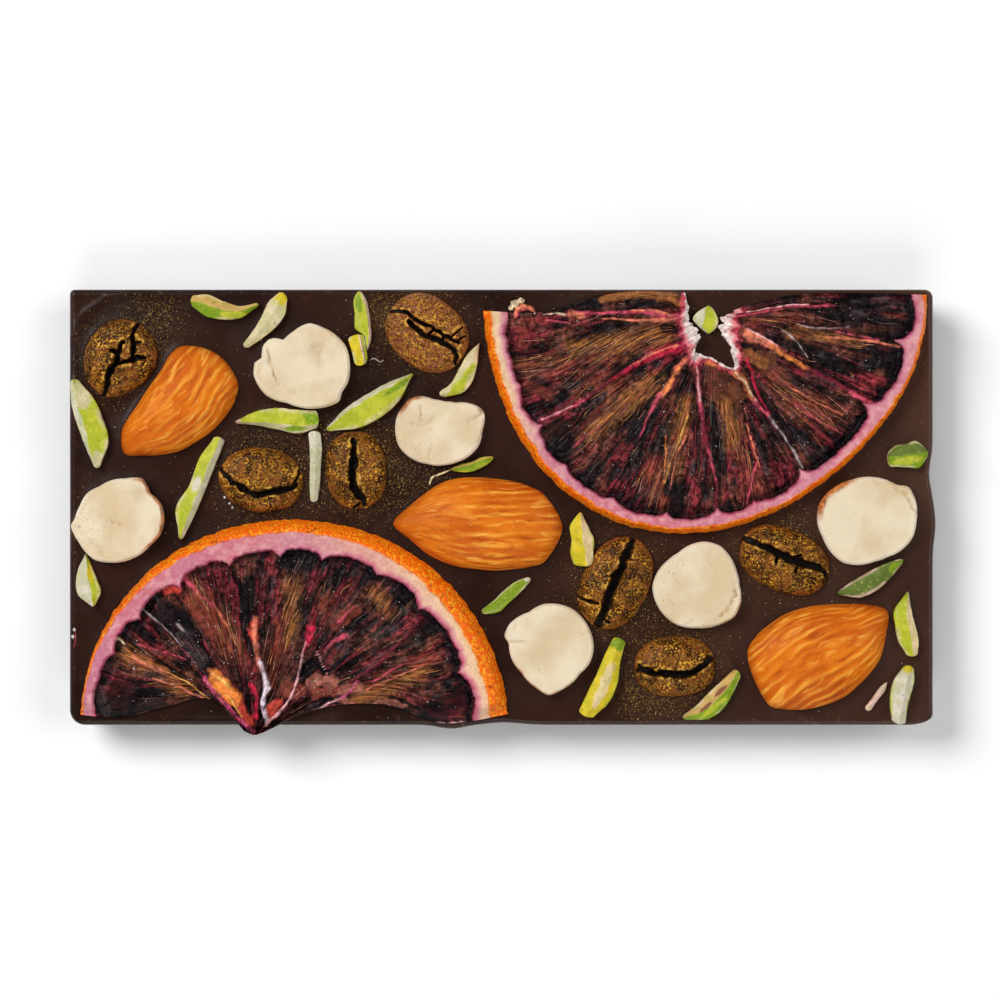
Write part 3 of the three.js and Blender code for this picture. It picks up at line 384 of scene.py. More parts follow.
LOWER_SLICE = {
    "node": "orange_slice_lower",
    "centre": (-30.1, -31.4),
    "radius": 30.5,
    "waver": (2, 0.7, 176.0),
    "arc": (3.0, 177.2),
    "skin": (3.0, 1.8, 0.7),
    "pith": (2.0, 2.8, 1.8),
    "core": [(-34.2, -32.35), (-35.7, -32.78), (-37.2, -32.2)],
    "fuzz": (0.0, 0.0),
    "cream": (0.75, 0.9, 0.7, 0.35, 0.1, 0.0, 0.0, 0.0, 0.0),
    # Deep is how far the pulp sinks beside the pith along the arc, where it is painted black as shade
    "deep": (1.0, 1.0, 0.9, 0.7, 0.5, 0.4, 0.3, 0.4, 0.5),
    "near": [(-34.2, -32.35), (-26.3, -29.0), (-17.3, -28.4), (-8.3, -31.1), (1.0, -29.8)],
    "far": [(-37.2, -32.2), (-42.2, -27.6), (-48.4, -28.7), (-54.7, -30.3), (-60.9, -29.9)],
    "joints": [(18.8, 0.6), (42, 1.0), (59.5, 0.5), (78, 1.0), (92, 0.8), (109, 1.1), (127, 1.1),
               (143.5, 0.7), (157, 0.5)],
    "films": [
        # Black films that sink are painted shade in hollows; the others are dark pulp
        ("black", 1.5, 0.7, -0.3, [(-48.4, -14.6), (-45.6, -16.6)]),
        ("black", 2.2, 0.8, -0.3, [(-55.2, -26.4), (-50.6, -28.2)]),
        ("black", 0.5, 0.9, -0.7, [(-38.4, -9.6), (-37.3, -13.6), (-36.9, -17.4), (-36.1, -21.6)]),
        ("ember", 0.9, 0.8, 0.5, [(-48.2, -11.9), (-46.9, -11.5)]),
        ("rust", 1.3, 0.6, 0.2, [(-44.6, -13.4), (-42.0, -17.4)]),
        ("ember", 0.7, 0.8, 0.4, [(-35.7, -16.6), (-35.5, -18.8)]),
        ("ember", 0.8, 0.75, 0.3, [(-33.3, -29.8), (-32.2, -28.0)]),
        ("rust", 1.2, 0.7, 0.2, [(-30.8, -26.2), (-29.0, -26.6)]),
        ("salmon", 0.9, 0.75, 0.5, [(-27.4, -25.5), (-26.0, -24.6), (-24.2, -25.2)]),
        ("rust", 0.9, 0.8, 0.3, [(-26.6, -26.8), (-23.8, -26.4)]),
        ("black", 0.5, 0.95, -1.0, [(-28.5, -23.5), (-26.7, -22.0), (-25.4, -23.8)]),
        ("salmon", 0.8, 0.7, 0.4, [(-22.8, -26.4), (-20.9, -25.9)]),
        ("ash", 1.0, 0.3, 0.3, [(-57.8, -26.6), (-57.2, -29.6)]),
        ("ash", 1.2, 0.3, 0.2, [(-46.0, -18.6), (-43.6, -22.0)]),
        ("black", 1.9, 0.75, -0.2, [(-10.6, -29.4), (-6.2, -27.6)]),
        ("rust", 1.2, 0.6, 0.2, [(-24.0, -17.0), (-21.6, -15.0)]),
        ("ash", 0.9, 0.3, 0.2, [(-18.2, -18.8), (-15.8, -17.2)]),
        ("black", 1.1, 0.6, -0.2, [(-15.6, -20.2), (-11.0, -17.0)]),
        ("salmon", 0.35, 0.8, 0.2, [(-23.6, -27.7), (-20.7, -28.7), (-17.7, -28.1), (-13.8, -28.4)]),
        ("ember", 0.9, 0.85, 0.5, [(-38.4, -27.4), (-36.4, -30.8)]),
        ("amber", 1.25, 0.9, 0.5, [(-41.4, -24.4), (-40.0, -25.9), (-38.6, -27.6)]),
    ],
    "strands": [
        ("rose", 0.30, 0.16, 0.4, [(-46.7, -9.3), (-45.1, -10.9), (-43.1, -12.5), (-41.1, -14.1)]),
        ("coral", 0.14, 0.10, 0.3, [(-41.1, -14.1), (-39.4, -17.2), (-38.2, -20.0)]),
        ("coral", 0.40, 0.36, 0.5, [(-35.6, -16.0), (-35.5, -19.0), (-35.1, -22.0), (-34.7, -23.7)]),
        ("lilac", 0.34, 0.44, 0.7, [(-34.8, -22.5), (-34.1, -24.5), (-33.9, -26.1)]),
        ("lilac", 0.44, 0.26, 0.6, [(-33.9, -26.1), (-34.4, -27.7), (-33.9, -30.9)]),
        # Painted highlight along the amber membrane
        ("gold", 0.40, 0.24, 0.3, [(-41.3, -24.0), (-40.1, -24.9), (-39.2, -26.0)]),
        ("gold", 0.22, 0.12, 0.3, [(-39.6, -27.0), (-38.2, -28.7), (-37.4, -30.2)]),
        ("magenta", 0.34, 0.30, 0.6, [(-42.9, -24.4), (-40.5, -27.5), (-37.9, -30.4), (-35.9, -32.3)]),
        ("red", 0.30, 0.40, 0.4, [(-36.4, -25.6), (-35.2, -27.4), (-35.4, -30.0)]),
        ("coral", 0.26, 0.20, 0.3, [(-53.4, -21.4), (-51.0, -22.6), (-48.2, -23.8)]),
        ("gold", 0.12, 0.10, 0.3, [(-48.4, -23.6), (-45.2, -25.4), (-42.0, -27.6)]),
        ("coral", 0.10, 0.14, 0.3, [(-50.4, -24.6), (-46.6, -26.0), (-43.0, -27.4)]),
        ("red", 0.12, 0.52, 0.4, [(-26.7, -15.1), (-27.2, -17.2)]),
        ("red", 0.52, 0.22, 0.5, [(-27.2, -17.2), (-27.8, -19.4), (-28.4, -20.9)]),
        ("pink", 0.12, 0.20, 0.4, [(-28.1, -19.4), (-28.6, -21.8), (-29.0, -23.4), (-29.7, -25.5)]),
        ("pink", 0.16, 0.22, 0.4, [(-29.7, -25.5), (-31.0, -28.4), (-32.6, -30.0), (-33.9, -31.3)]),
        ("pink", 0.06, 0.06, 0.3, [(-26.6, -20.8), (-26.1, -22.2), (-25.2, -24.0)]),
        ("rose", 0.12, 0.30, 0.3, [(-21.4, -14.4), (-23.4, -16.6)]),
        ("rose", 0.34, 0.20, 0.3, [(-22.3, -18.2), (-24.2, -19.2), (-25.6, -20.6)]),
        ("pink", 0.14, 0.18, 0.5, [(-23.6, -27.5), (-24.9, -28.1), (-26.8, -29.4)]),
        ("magenta", 0.28, 0.14, 0.4, [(-20.7, -25.0), (-22.2, -26.6), (-23.6, -27.6)]),
        ("pink", 0.12, 0.12, 0.3, [(-10.2, -31.0), (-7.6, -31.3), (-5.4, -31.0)]),
        ("coral", 0.14, 0.08, 0.3, [(-19.4, -26.4), (-15.8, -24.6), (-11.4, -23.0)]),
        ("rose", 0.16, 0.08, 0.3, [(-18.4, -25.2), (-15.8, -23.4), (-13.4, -22.6)]),
        ("rose", 0.10, 0.10, 0.3, [(-52.6, -19.6), (-49.4, -20.6), (-45.6, -21.9)]),
        ("grey", 0.14, 0.10, 0.3, [(-52.0, -14.6), (-49.4, -16.6), (-46.2, -19.8)]),
        ("grey", 0.20, 0.14, 0.3, [(-46.9, -16.8), (-45.9, -17.8)]),
        ("cream", 0.24, 0.14, 0.3, [(-55.4, -18.8), (-54.4, -19.8)]),
        ("wine", 0.26, 0.16, 0.3, [(-22.0, -25.2), (-16.5, -21.6), (-11.6, -15.8)]),
    ],
    "patches": [
        ("gold", 0.7, 1.1, [(-54.0, -20.8), (-50.0, -23.4), (-45.6, -26.4)]),
        ("rust", 0.8, 1.6, [(-43.4, -13.0), (-40.6, -17.2), (-38.4, -21.0)]),
        ("gold", 0.6, 1.0, [(-41.2, -17.4), (-38.6, -21.6)]),
        ("gold", 0.7, 0.9, [(-30.2, -11.0), (-30.4, -15.4), (-31.0, -19.4)]),
        ("rust", 0.6, 1.5, [(-31.6, -17.0), (-32.4, -21.0), (-32.6, -24.6)]),
        ("gold", 0.6, 0.8, [(-18.2, -12.2), (-16.4, -15.0)]),
        ("gold", 0.9, 1.1, [(-20.4, -27.2), (-15.7, -25.4), (-11.4, -23.4)]),
        ("rust", 0.8, 1.1, [(-18.4, -25.4), (-14.4, -23.6), (-10.4, -21.8)]),
        ("rust", 0.6, 0.9, [(-46.0, -9.4), (-43.6, -11.6)]),
        ("rust", 0.5, 1.2, [(-25.6, -12.8), (-25.2, -17.0)]),
    ],
    "fibres": 300,
}
SLICE_FLOOR = 7.2
SKIN_HEIGHT = 2.6
PITH_HEIGHT = 2.3
FLESH_HEIGHT = 1.3
FLESH_SAG = 0.35
PEEL_EDGE = 0.35
EDGE_FADE = 0.18
STRAND_TONES = {
    "cream": (0.82, 0.68, 0.42),
    "lilac": (0.80, 0.68, 0.76),
    "pink": (0.82, 0.46, 0.46),
    "coral": (0.66, 0.19, 0.11),
    "rose": (0.50, 0.07, 0.11),
    "magenta": (0.60, 0.10, 0.22),
    "red": (0.50, 0.018, 0.055),
    "wine": (0.15, 0.016, 0.032),
    "amber": (0.76, 0.24, 0.06),
    "gold": (0.80, 0.42, 0.10),
    "grey": (0.34, 0.29, 0.29),
}
FILM_TONES = {
    # black is the near black of dark pulp, and the painted shade of sunken films and of the moat
    "black": (0.005, 0.0035, 0.005),
    "ash": (0.070, 0.055, 0.055),
    "umber": (0.110, 0.036, 0.018),
    "rust": (0.200, 0.040, 0.024),
    "tawny": (0.300, 0.110, 0.032),
    "ember": (0.520, 0.055, 0.035),
    "salmon": (0.340, 0.120, 0.085),
    "amber": (0.760, 0.230, 0.045),
}
PATCH_TONES = {"gold": (0.46, 0.180, 0.045), "rust": (0.30, 0.072, 0.036)}
FLESH_TONES = {
    "deep": (0.0085, 0.0050, 0.0055),
    "brown": (0.095, 0.030, 0.020),
    "ruby": (0.170, 0.017, 0.026),
    # sheen is a painted reflection: grey patches of painted sheen on the pulp
    "sheen": (0.050, 0.036, 0.038),
    "seam": (0.20, 0.030, 0.045),
}
PITH_TONES = {
    "pink": (0.58, 0.175, 0.22),
    "lilac": (0.53, 0.190, 0.27),
    "pale": (0.74, 0.36, 0.38),
    "cream": (0.80, 0.57, 0.34),
    "amber": (0.80, 0.42, 0.08),
    "magenta": (0.48, 0.045, 0.13),
}
PEEL_TONES = {"orange": (0.84, 0.16, 0.006), "line": (0.45, 0.09, 0.02)}
FLUFF_TONES = {"white": (0.82, 0.73, 0.68), "pink": (0.70, 0.20, 0.22), "rose": (0.50, 0.06, 0.10)}
FIBRE_TONES = {
    "gold": (0.60, 0.29, 0.10),
    "tan": (0.56, 0.25, 0.16),
    "red": (0.36, 0.045, 0.065),
    "ash": (0.16, 0.12, 0.12),
}

# Loose threads and curls that lie on the bar and the slices: a tone, half width and way
LOOSE_THREADS = [
    ("cream", 0.50, [(1.2, 28.7), (1.8, 29.4), (2.7, 30.0), (3.4, 30.1)]),
    ("coral", 0.34, [(2.0, 27.4), (2.3, 28.6), (3.2, 29.2), (4.2, 29.0), (4.9, 28.4)]),
    ("rose", 0.20, [(2.2, 27.6), (2.9, 28.6), (4.0, 28.8)]),
    ("cream", 0.16, [(4.2, 29.1), (4.8, 28.5), (4.9, 28.1)]),
    ("grey", 0.10, [(-19.1, 21.4), (-18.35, 21.7), (-17.5, 21.2), (-17.0, 21.5)]),
    ("cream", 0.15, [(-10.4, 3.4), (-9.9, 4.5), (-8.9, 4.9), (-7.2, 5.6)]),
    ("rose", 0.07, [(-61.9, -17.4), (-61.6, -18.6), (-61.9, -20.2)]),
]
THREAD_STEPS = 30

# Gold dust: middle, spread and number of grains of each cloud
DUST_CLOUDS = [
    ((-55.0, 22.5), 5.0, 900),
    ((-50.0, 27.5), 3.0, 350),
    ((-12.0, 26.5), 5.5, 900),
    ((-17.3, 28.2), 1.8, 260),
    ((-34.0, 5.0), 6.0, 1400),
    ((-21.0, 6.0), 5.0, 1300),
    ((-13.0, 4.0), 5.0, 500),
    ((-10.0, -2.0), 3.0, 160),
    ((16.5, -11.0), 5.5, 1100),
    ((41.0, -6.0), 5.0, 800),
    ((25.0, -23.5), 5.0, 1300),
    ((20.0, -28.0), 2.2, 220),
    ((-60.0, -2.0), 3.0, 160),
]
STRAY_GRAINS = 500
# Number of pale specks on the slices' pulp: small grains that are painted glints
PALE_SPECKS = 1100
CHIPS = [(-40.0, 1.6), (-39.3, 0.7), (-38.9, 0.1), (-61.8, -17.6), (-62.0, -18.6), (-60.9, -2.6)]

# The camera: lens and sensor, what it sees across the bar's face, and the middle of that
LENS = 135.0
SENSOR = 36.0
VIEW_WIDTH = 144.9
VIEW_MIDDLE = (-0.14, 1.2)

# Height in metres from which the surface is felt for, above every topping
RAY_START = 0.03

# Factors that scramble a cell's place and seed into 32 bits
PRIMES = (374761393, 668265263, 1440662683)
SEED_FACTOR = 974634777
SCRAMBLE = 1274126177
ALL_BITS = 0xFFFFFFFF
LOW_BITS = 0xFFFF

# Every piece made so far
MADE = []


def noise(x, y, z=0.0, seed=0):
    """Smooth random values from -1 to 1 that change over about one unit."""
    x, y, z = np.broadcast_arrays(*(np.asarray(c, float) for c in (x, y, z)))
    cells = [np.floor(c).astype(np.int64) for c in (x, y, z)]
    parts = [c - cell for c, cell in zip((x, y, z), cells)]
    eased = [p * p * (3 - 2 * p) for p in parts]
    total = np.zeros(x.shape)
    for corner in range(8):
        weight = np.ones(x.shape)
        key = np.full(x.shape, seed * SEED_FACTOR, np.int64)
        for axis in range(3):
            step = corner >> axis & 1
            weight = weight * (eased[axis] if step else 1 - eased[axis])
            key = key + (cells[axis] + step) * PRIMES[axis]
        key = key & ALL_BITS
        key = ((key ^ (key >> 13)) * SCRAMBLE) & ALL_BITS
        total += weight * ((key ^ (key >> 16)) & LOW_BITS)
    return total / (LOW_BITS / 2) - 1


def rough(x, y, z=0.0, seed=0, octaves=3):
    """Noise with finer and finer detail, from about -1 to 1."""
    total, size = 0.0, 0.0
    for k in range(octaves):
        total = total + noise(x * 2**k, y * 2**k, np.asarray(z) * 2**k, seed + k) / 2**k
        size += 1 / 2**k
    return total / size * 1.4


def ridged(x, y, seed=0):
    """Thin wandering ridges, 1 on each ridge and lower between them."""
    return 1 - 1.6 * np.abs(noise(x, y, seed=seed))


def smooth(low, high, value):
    """0 below low, 1 above high and an eased step between them."""
    t = np.clip((value - low) / (high - low), 0, 1)
    return t * t * (3 - 2 * t)


def mix(a, b, t):
    return a + (b - a) * t


def bell(value, width):
    return np.exp(-((value / width) ** 2))


def blend_tone(base, tone, amount):
    """Colours of base, moved towards one tone by amount."""
    return base + (np.asarray(tone) - base) * amount[..., None]


def curve(points, t):
    """Places on a smooth curve through points, at shares t of its steps."""
    p = np.asarray(points, float)
    last = len(p) - 1
    place = np.clip(t, 0, 1) * last
    i = np.minimum(place.astype(int), last - 1)
    f = (place - i)[..., None]
    p0, p1, p2, p3 = p[np.maximum(i - 1, 0)], p[i], p[i + 1], p[np.minimum(i + 2, last)]
    bend = (2 * p0 - 5 * p1 + 4 * p2 - p3) * f**2 + (3 * p1 - p0 - 3 * p2 + p3) * f**3
    return 0.5 * (2 * p1 + (p2 - p0) * f + bend)


def loop_curve(points, count=240):
    """A closed smooth curve through points."""
    p = [*points[-2:], *points, *points[:3]]
    steps = len(p) - 1
    share = np.linspace(2, 2 + len(points), count, endpoint=False) / steps
    return curve(p, share)


def reading(values, share):
    """Values given in equal steps, read smoothly between them."""
    v = np.asarray(values, float)
    place = np.clip(share, 0, 1) * (len(v) - 1)
    low = np.minimum(place.astype(int), len(v) - 2)
    return mix(v[low], v[low + 1], smooth(0, 1, place - low))


def distance_to_line(x, y, points):
    """How far each place is from a line of straight stretches, and the share along it."""
    best = np.full(np.shape(x), 1e9)
    along = np.zeros(np.shape(x))
    stretches = list(zip(points[:-1], points[1:]))
    for k, ((ax, ay), (bx, by)) in enumerate(stretches):
        dx, dy = bx - ax, by - ay
        t = np.clip(((x - ax) * dx + (y - ay) * dy) / (dx * dx + dy * dy), 0, 1)
        away = np.hypot(x - ax - t * dx, y - ay - t * dy)
        along = np.where(away < best, (k + t) / len(stretches), along)
        best = np.minimum(best, away)
    return best, along


def turned(points, degrees, offset):
    """Points turned about Z and moved to their place."""
    a = math.radians(degrees)
    x, y, z = points[..., 0], points[..., 1], points[..., 2]
    spun = (x * math.cos(a) - y * math.sin(a), x * math.sin(a) + y * math.cos(a), z)
    return np.stack(spun, -1) + np.asarray(offset, float)


def placed(outline, degrees, x, y):
    """A flat outline turned and moved to its place on the bar."""
    flat = np.concatenate([outline, np.zeros((len(outline), 1))], 1)
    return turned(flat, degrees, (x, y, 0))[:, :2]


def quads(rows, columns, wrapped):
    """Faces of a grid of points, closed round its rows if wrapped."""
    reach = columns if wrapped else columns - 1
    i, j = np.meshgrid(np.arange(rows - 1), np.arange(reach), indexing="ij")
    k = (j + 1) % columns
    faces = np.stack([i * columns + j, (i + 1) * columns + j, (i + 1) * columns + k, i * columns + k], -1)
    return faces.reshape(-1, 4)


def wall(lower, upper):
    """Faces between two rings of point numbers, one below the other."""
    corners = (lower, np.roll(lower, -1), np.roll(upper, -1), upper)
    return list(zip(*(ring.tolist() for ring in corners)))


def closed_faces(rings, around):
    """Faces of a body of rings between two poles: the first point, the rings, the last point."""
    faces = [tuple(f) for f in (quads(rings, around, True) + 1).tolist()]
    last = rings * around + 1
    for j in range(around):
        k = (j + 1) % around
        faces.append((0, 1 + j, 1 + k))
        faces.append((last, last - around + k, last - around + j))
    return faces


def make_piece(name, points, faces, material, replaces=(), values=None, plan=None):
    """A smooth mesh with its material, in place of CAD nodes. values are numbers or colours of each
    point, and plan is a pair of pattern coordinates of each point."""
    mesh = bpy.data.meshes.new(name)
    mesh.from_pydata((np.asarray(points).reshape(-1, 3) * MM).tolist(), [], faces)
    mesh.polygons.foreach_set("use_smooth", [True] * len(mesh.polygons))
    for key, array in (values or {}).items():
        array = np.asarray(array, float)
        if array.size == 3 * len(mesh.vertices):
            layer = mesh.attributes.new(key, "FLOAT_COLOR", "POINT")
            rgba = np.ones((len(mesh.vertices), 4))
            rgba[:, :3] = array.reshape(-1, 3)
            layer.data.foreach_set("color", rgba.ravel())
        else:
            layer = mesh.attributes.new(key, "FLOAT", "POINT")
            layer.data.foreach_set("value", array.ravel())
    if plan is not None:
        corners = np.empty(len(mesh.loops), int)
        mesh.loops.foreach_get("vertex_index", corners)
        layer = mesh.uv_layers.new(name="plan")
        layer.data.foreach_set("uv", np.asarray(plan).reshape(-1, 2)[corners].ravel())
    mesh.update()
    piece = bpy.data.objects.new(name, mesh)
    bpy.context.collection.objects.link(piece)
    mesh.materials.append(material)
    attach(piece, "root")
    if replaces:
        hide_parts(*replaces)
    MADE.append(piece)
    return piece


class Paint:
    """A principled material with short ways to add nodes to it."""

    def __init__(self, name, roughness=0.5, specular=0.5):
        self.material = bpy.data.materials.new(name)
        self.material.use_nodes = True
        self.tree = self.material.node_tree
        self.shader = self.tree.nodes["Principled BSDF"]
        self.shader.inputs["Roughness"].default_value = roughness
        self.shader.inputs["Specular IOR Level"].default_value = specular
        self.place = self.node("ShaderNodeTexCoord").outputs["Object"]

    def node(self, kind, **settings):
        made = self.tree.nodes.new(kind)
        for key, value in settings.items():
            setattr(made, key, value)
        return made

    def join(self, source, socket):
        if isinstance(source, (int, float)):
            socket.default_value = source
        elif isinstance(source, tuple):
            socket.default_value = (*source, 1.0)
        else:
            self.tree.links.new(source, socket)

    def value(self, name):
        return self.node("ShaderNodeAttribute", attribute_name=name).outputs["Fac"]

    def colour(self, name):
        return self.node("ShaderNodeAttribute", attribute_name=name).outputs["Color"]

    def plan(self, across, along):
        """Pattern coordinates stretched by different amounts in the two directions."""
        source = self.node("ShaderNodeUVMap", uv_map="plan").outputs["UV"]
        mapping = self.node("ShaderNodeMapping")
        mapping.inputs["Scale"].default_value = (across, along, 1.0)
        self.join(source, mapping.inputs["Vector"])
        return mapping.outputs["Vector"]

    def noise(self, scale, detail=3.0, vector=None, distortion=0.0):
        made = self.node("ShaderNodeTexNoise")
        made.inputs["Scale"].default_value = scale
        made.inputs["Detail"].default_value = detail
        made.inputs["Distortion"].default_value = distortion
        self.join(vector or self.place, made.inputs["Vector"])
        return made.outputs["Fac"]

    def cells(self, scale):
        made = self.node("ShaderNodeTexVoronoi")
        made.inputs["Scale"].default_value = scale
        self.join(self.place, made.inputs["Vector"])
        return made.outputs["Distance"]

    def step(self, source, low, high, start=0.0, end=1.0):
        made = self.node("ShaderNodeMapRange", interpolation_type="SMOOTHSTEP")
        for socket, value in zip(("From Min", "From Max", "To Min", "To Max"), (low, high, start, end)):
            made.inputs[socket].default_value = value
        self.join(source, made.inputs["Value"])
        return made.outputs["Result"]

    def maths(self, operation, a, b=0.0):
        made = self.node("ShaderNodeMath", operation=operation)
        self.join(a, made.inputs[0])
        self.join(b, made.inputs[1])
        return made.outputs["Value"]

    def mixed(self, a, b, amount, mode="MIX"):
        made = self.node("ShaderNodeMix", data_type="RGBA", blend_type=mode)
        self.join(amount, made.inputs["Factor"])
        self.join(a, made.inputs[6])
        self.join(b, made.inputs[7])
        return made.outputs[2]

    def scaled(self, base, factors, amount=1.0):
        """A colour with its three parts multiplied."""
        return self.mixed(base, factors, amount, "MULTIPLY")

    def bump(self, height, distance, strength=1.0):
        made = self.node("ShaderNodeBump")
        made.inputs["Distance"].default_value = distance * MM
        made.inputs["Strength"].default_value = strength
        self.join(height, made.inputs["Height"])
        self.join(made.outputs["Normal"], self.shader.inputs["Normal"])

    def finish(self, **sockets):
        for name, source in sockets.items():
            self.join(source, self.shader.inputs[name.replace("_", " ")])
        return self.material


def chocolate_material():
    """Dark chocolate with a soft sheen, scuffed at its edges and dusty round the beans."""
    paint = Paint("dark_chocolate", specular=0.18)
    mottle = paint.step(paint.noise(90, 4), 0.35, 0.65)
    base = paint.mixed((0.0155, 0.0050, 0.0033), (0.028, 0.0097, 0.0061), mottle)
    base = paint.mixed(base, (0.074, 0.033, 0.020), paint.value("light"))
    haze = paint.maths("MULTIPLY", paint.value("dust"), paint.step(paint.noise(4200, 3), 0.52, 0.68))
    base = paint.mixed(base, (0.22, 0.13, 0.03), paint.maths("MULTIPLY", haze, 0.6))
    scuffs = paint.step(paint.noise(900, 4, distortion=1.5), 0.6, 0.72)
    base = paint.mixed(base, (0.15, 0.07, 0.04), paint.maths("MULTIPLY", paint.value("edge"), scuffs))
    grain = paint.noise(1500, 3)
    paint.bump(paint.maths("ADD", grain, paint.noise(260, 2)), 0.03, 0.5)
    roughness = paint.step(paint.noise(140, 3), 0.3, 0.7, 0.26, 0.38)
    return paint.finish(Base_Color=base, Roughness=roughness)


def orange_material():
    """Dried blood orange: tone comes with the shape, and fine fibres and pores from here."""
    paint = Paint("dried_orange")
    wet = paint.value("wet")
    skin = paint.value("skin")
    streaks = paint.noise(1.0, 4, paint.plan(330, 12), 0.5)
    wrinkles = paint.noise(1300, 5, distortion=0.8)
    pattern = paint.mixed(wrinkles, streaks, paint.value("fibrous"))
    tone = paint.colour("tone")
    pulp = paint.mixed(paint.scaled(tone, (0.34, 0.28, 0.32)), paint.scaled(tone, (1.9, 1.8, 1.75)),
                       paint.step(pattern, 0.36, 0.66))
    pulp = paint.mixed(pulp, tone, paint.maths("MULTIPLY", paint.value("calm"), 0.7))
    grain = paint.noise(2800, 4)
    grainy = paint.mixed(paint.scaled(tone, (0.93, 0.86, 0.88)), paint.scaled(tone, (1.06, 1.08, 1.07)),
                         paint.step(grain, 0.36, 0.66))
    marks = paint.step(paint.noise(1900, 3), 0.66, 0.74, 0.0, 0.6)
    grainy = paint.scaled(grainy, (0.70, 0.46, 0.48), marks)
    base = paint.mixed(grainy, pulp, wet)
    pores = paint.step(paint.cells(2300), 0.15, 0.60)
    peel = paint.mixed((1.0, 0.36, 0.006), (0.85, 0.120, 0.002), pores)
    peel = paint.mixed(peel, (1.0, 0.48, 0.015), paint.step(paint.noise(1500, 4), 0.55, 0.66, 0.0, 0.75))
    peel = paint.mixed(peel, (0.30, 0.040, 0.003), paint.step(paint.noise(1100, 4), 0.60, 0.68, 0.0, 0.85))
    base = paint.mixed(base, peel, paint.maths("MULTIPLY", skin, 0.85))
    height = paint.mixed(grain, pattern, wet)
    paint.bump(paint.mixed(height, pores, skin), 0.10, 0.8)
    roughness = paint.mixed((0.62,) * 3, (0.36,) * 3, wet)
    roughness = paint.mixed(roughness, (0.40,) * 3, skin)
    specular = paint.mixed((0.15,) * 3, (0.07,) * 3, wet)
    return paint.finish(Base_Color=base, Roughness=roughness, Specular_IOR_Level=specular)


def fibre_material():
    """Thin dry strands of pulp, glossier than the flesh below them."""
    paint = Paint("pulp_fibre", specular=0.15)
    shade = paint.step(paint.noise(1600, 3), 0.3, 0.7)
    tone = paint.colour("tone")
    base = paint.mixed(paint.scaled(tone, (0.45, 0.40, 0.42)), paint.scaled(tone, (1.45, 1.4, 1.35)), shade)
    return paint.finish(Base_Color=base, Roughness=0.42)


def almond_material():
    """Almond skin: fine dry lines that run the length of the nut, over a golden brown."""
    paint = Paint("almond_skin", specular=0.1)
    lines = paint.noise(1.0, 5, paint.plan(40, 3.2), 0.6)
    wide = paint.noise(1.0, 3, paint.plan(9, 1.4), 0.4)
    ridge = paint.value("ridge")
    base = paint.mixed((0.55, 0.100, 0.004), (0.72, 0.175, 0.006), paint.step(wide, 0.35, 0.65))
    # Darker in the grooves and lighter on the ridges of the relief: painted shade and painted highlight
    base = paint.mixed((0.36, 0.055, 0.003), base, paint.step(ridge, 0.05, 0.45, 0.15, 1.0))
    base = paint.mixed(base, (0.92, 0.40, 0.045), paint.step(ridge, 0.50, 0.95, 0.0, 0.75))
    base = paint.mixed(base, (0.34, 0.050, 0.003), paint.step(lines, 0.46, 0.28, 0.0, 0.7))
    base = paint.mixed(base, (0.98, 0.50, 0.080), paint.step(lines, 0.55, 0.72, 0.0, 0.6))
    # dark: darker towards both ends, and painted shade towards the rim
    base = paint.mixed(base, (0.42, 0.070, 0.004), paint.value("dark"))
    sparkle = paint.step(paint.noise(3600, 2), 0.64, 0.76, 0.0, 0.35)
    base = paint.mixed(base, (1.0, 0.55, 0.16), sparkle)
    paint.bump(paint.maths("ADD", lines, paint.noise(3000, 2)), 0.08, 0.7)
    return paint.finish(Base_Color=base, Roughness=0.5)


def hazelnut_material():
    """Blanched hazelnut: smooth and waxy, with a thin brown skin left at the rim."""
    paint = Paint("hazelnut_flesh", specular=0.2)
    cloud = paint.step(paint.noise(170, 3), 0.35, 0.65)
    base = paint.mixed((0.66, 0.51, 0.32), (0.76, 0.65, 0.47), cloud)
    fleck = paint.step(paint.noise(2400, 3), 0.60, 0.74, 0.0, 0.2)
    base = paint.mixed(base, (0.62, 0.44, 0.24), fleck)
    # rim: painted highlight, paler along the rounded rim
    base = paint.mixed(base, (0.84, 0.74, 0.62), paint.value("rim"))
    # tan: brown patches, and painted shade in dishes and cracks
    base = paint.mixed(base, (0.44, 0.27, 0.11), paint.value("tan"))
    husk = paint.mixed((0.22, 0.055, 0.010), (0.62, 0.22, 0.05), paint.step(paint.noise(1500, 3), 0.35, 0.65))
    base = paint.mixed(base, husk, paint.value("husk"))
    paint.bump(paint.maths("ADD", paint.noise(900, 4), cloud), 0.05, 0.5)
    paint.shader.inputs["Subsurface Weight"].default_value = 0.06
    paint.shader.inputs["Subsurface Radius"].default_value = (1.0, 0.7, 0.45)
    paint.shader.inputs["Subsurface Scale"].default_value = 1.0 * MM
    return paint.finish(Base_Color=base, Roughness=0.5)


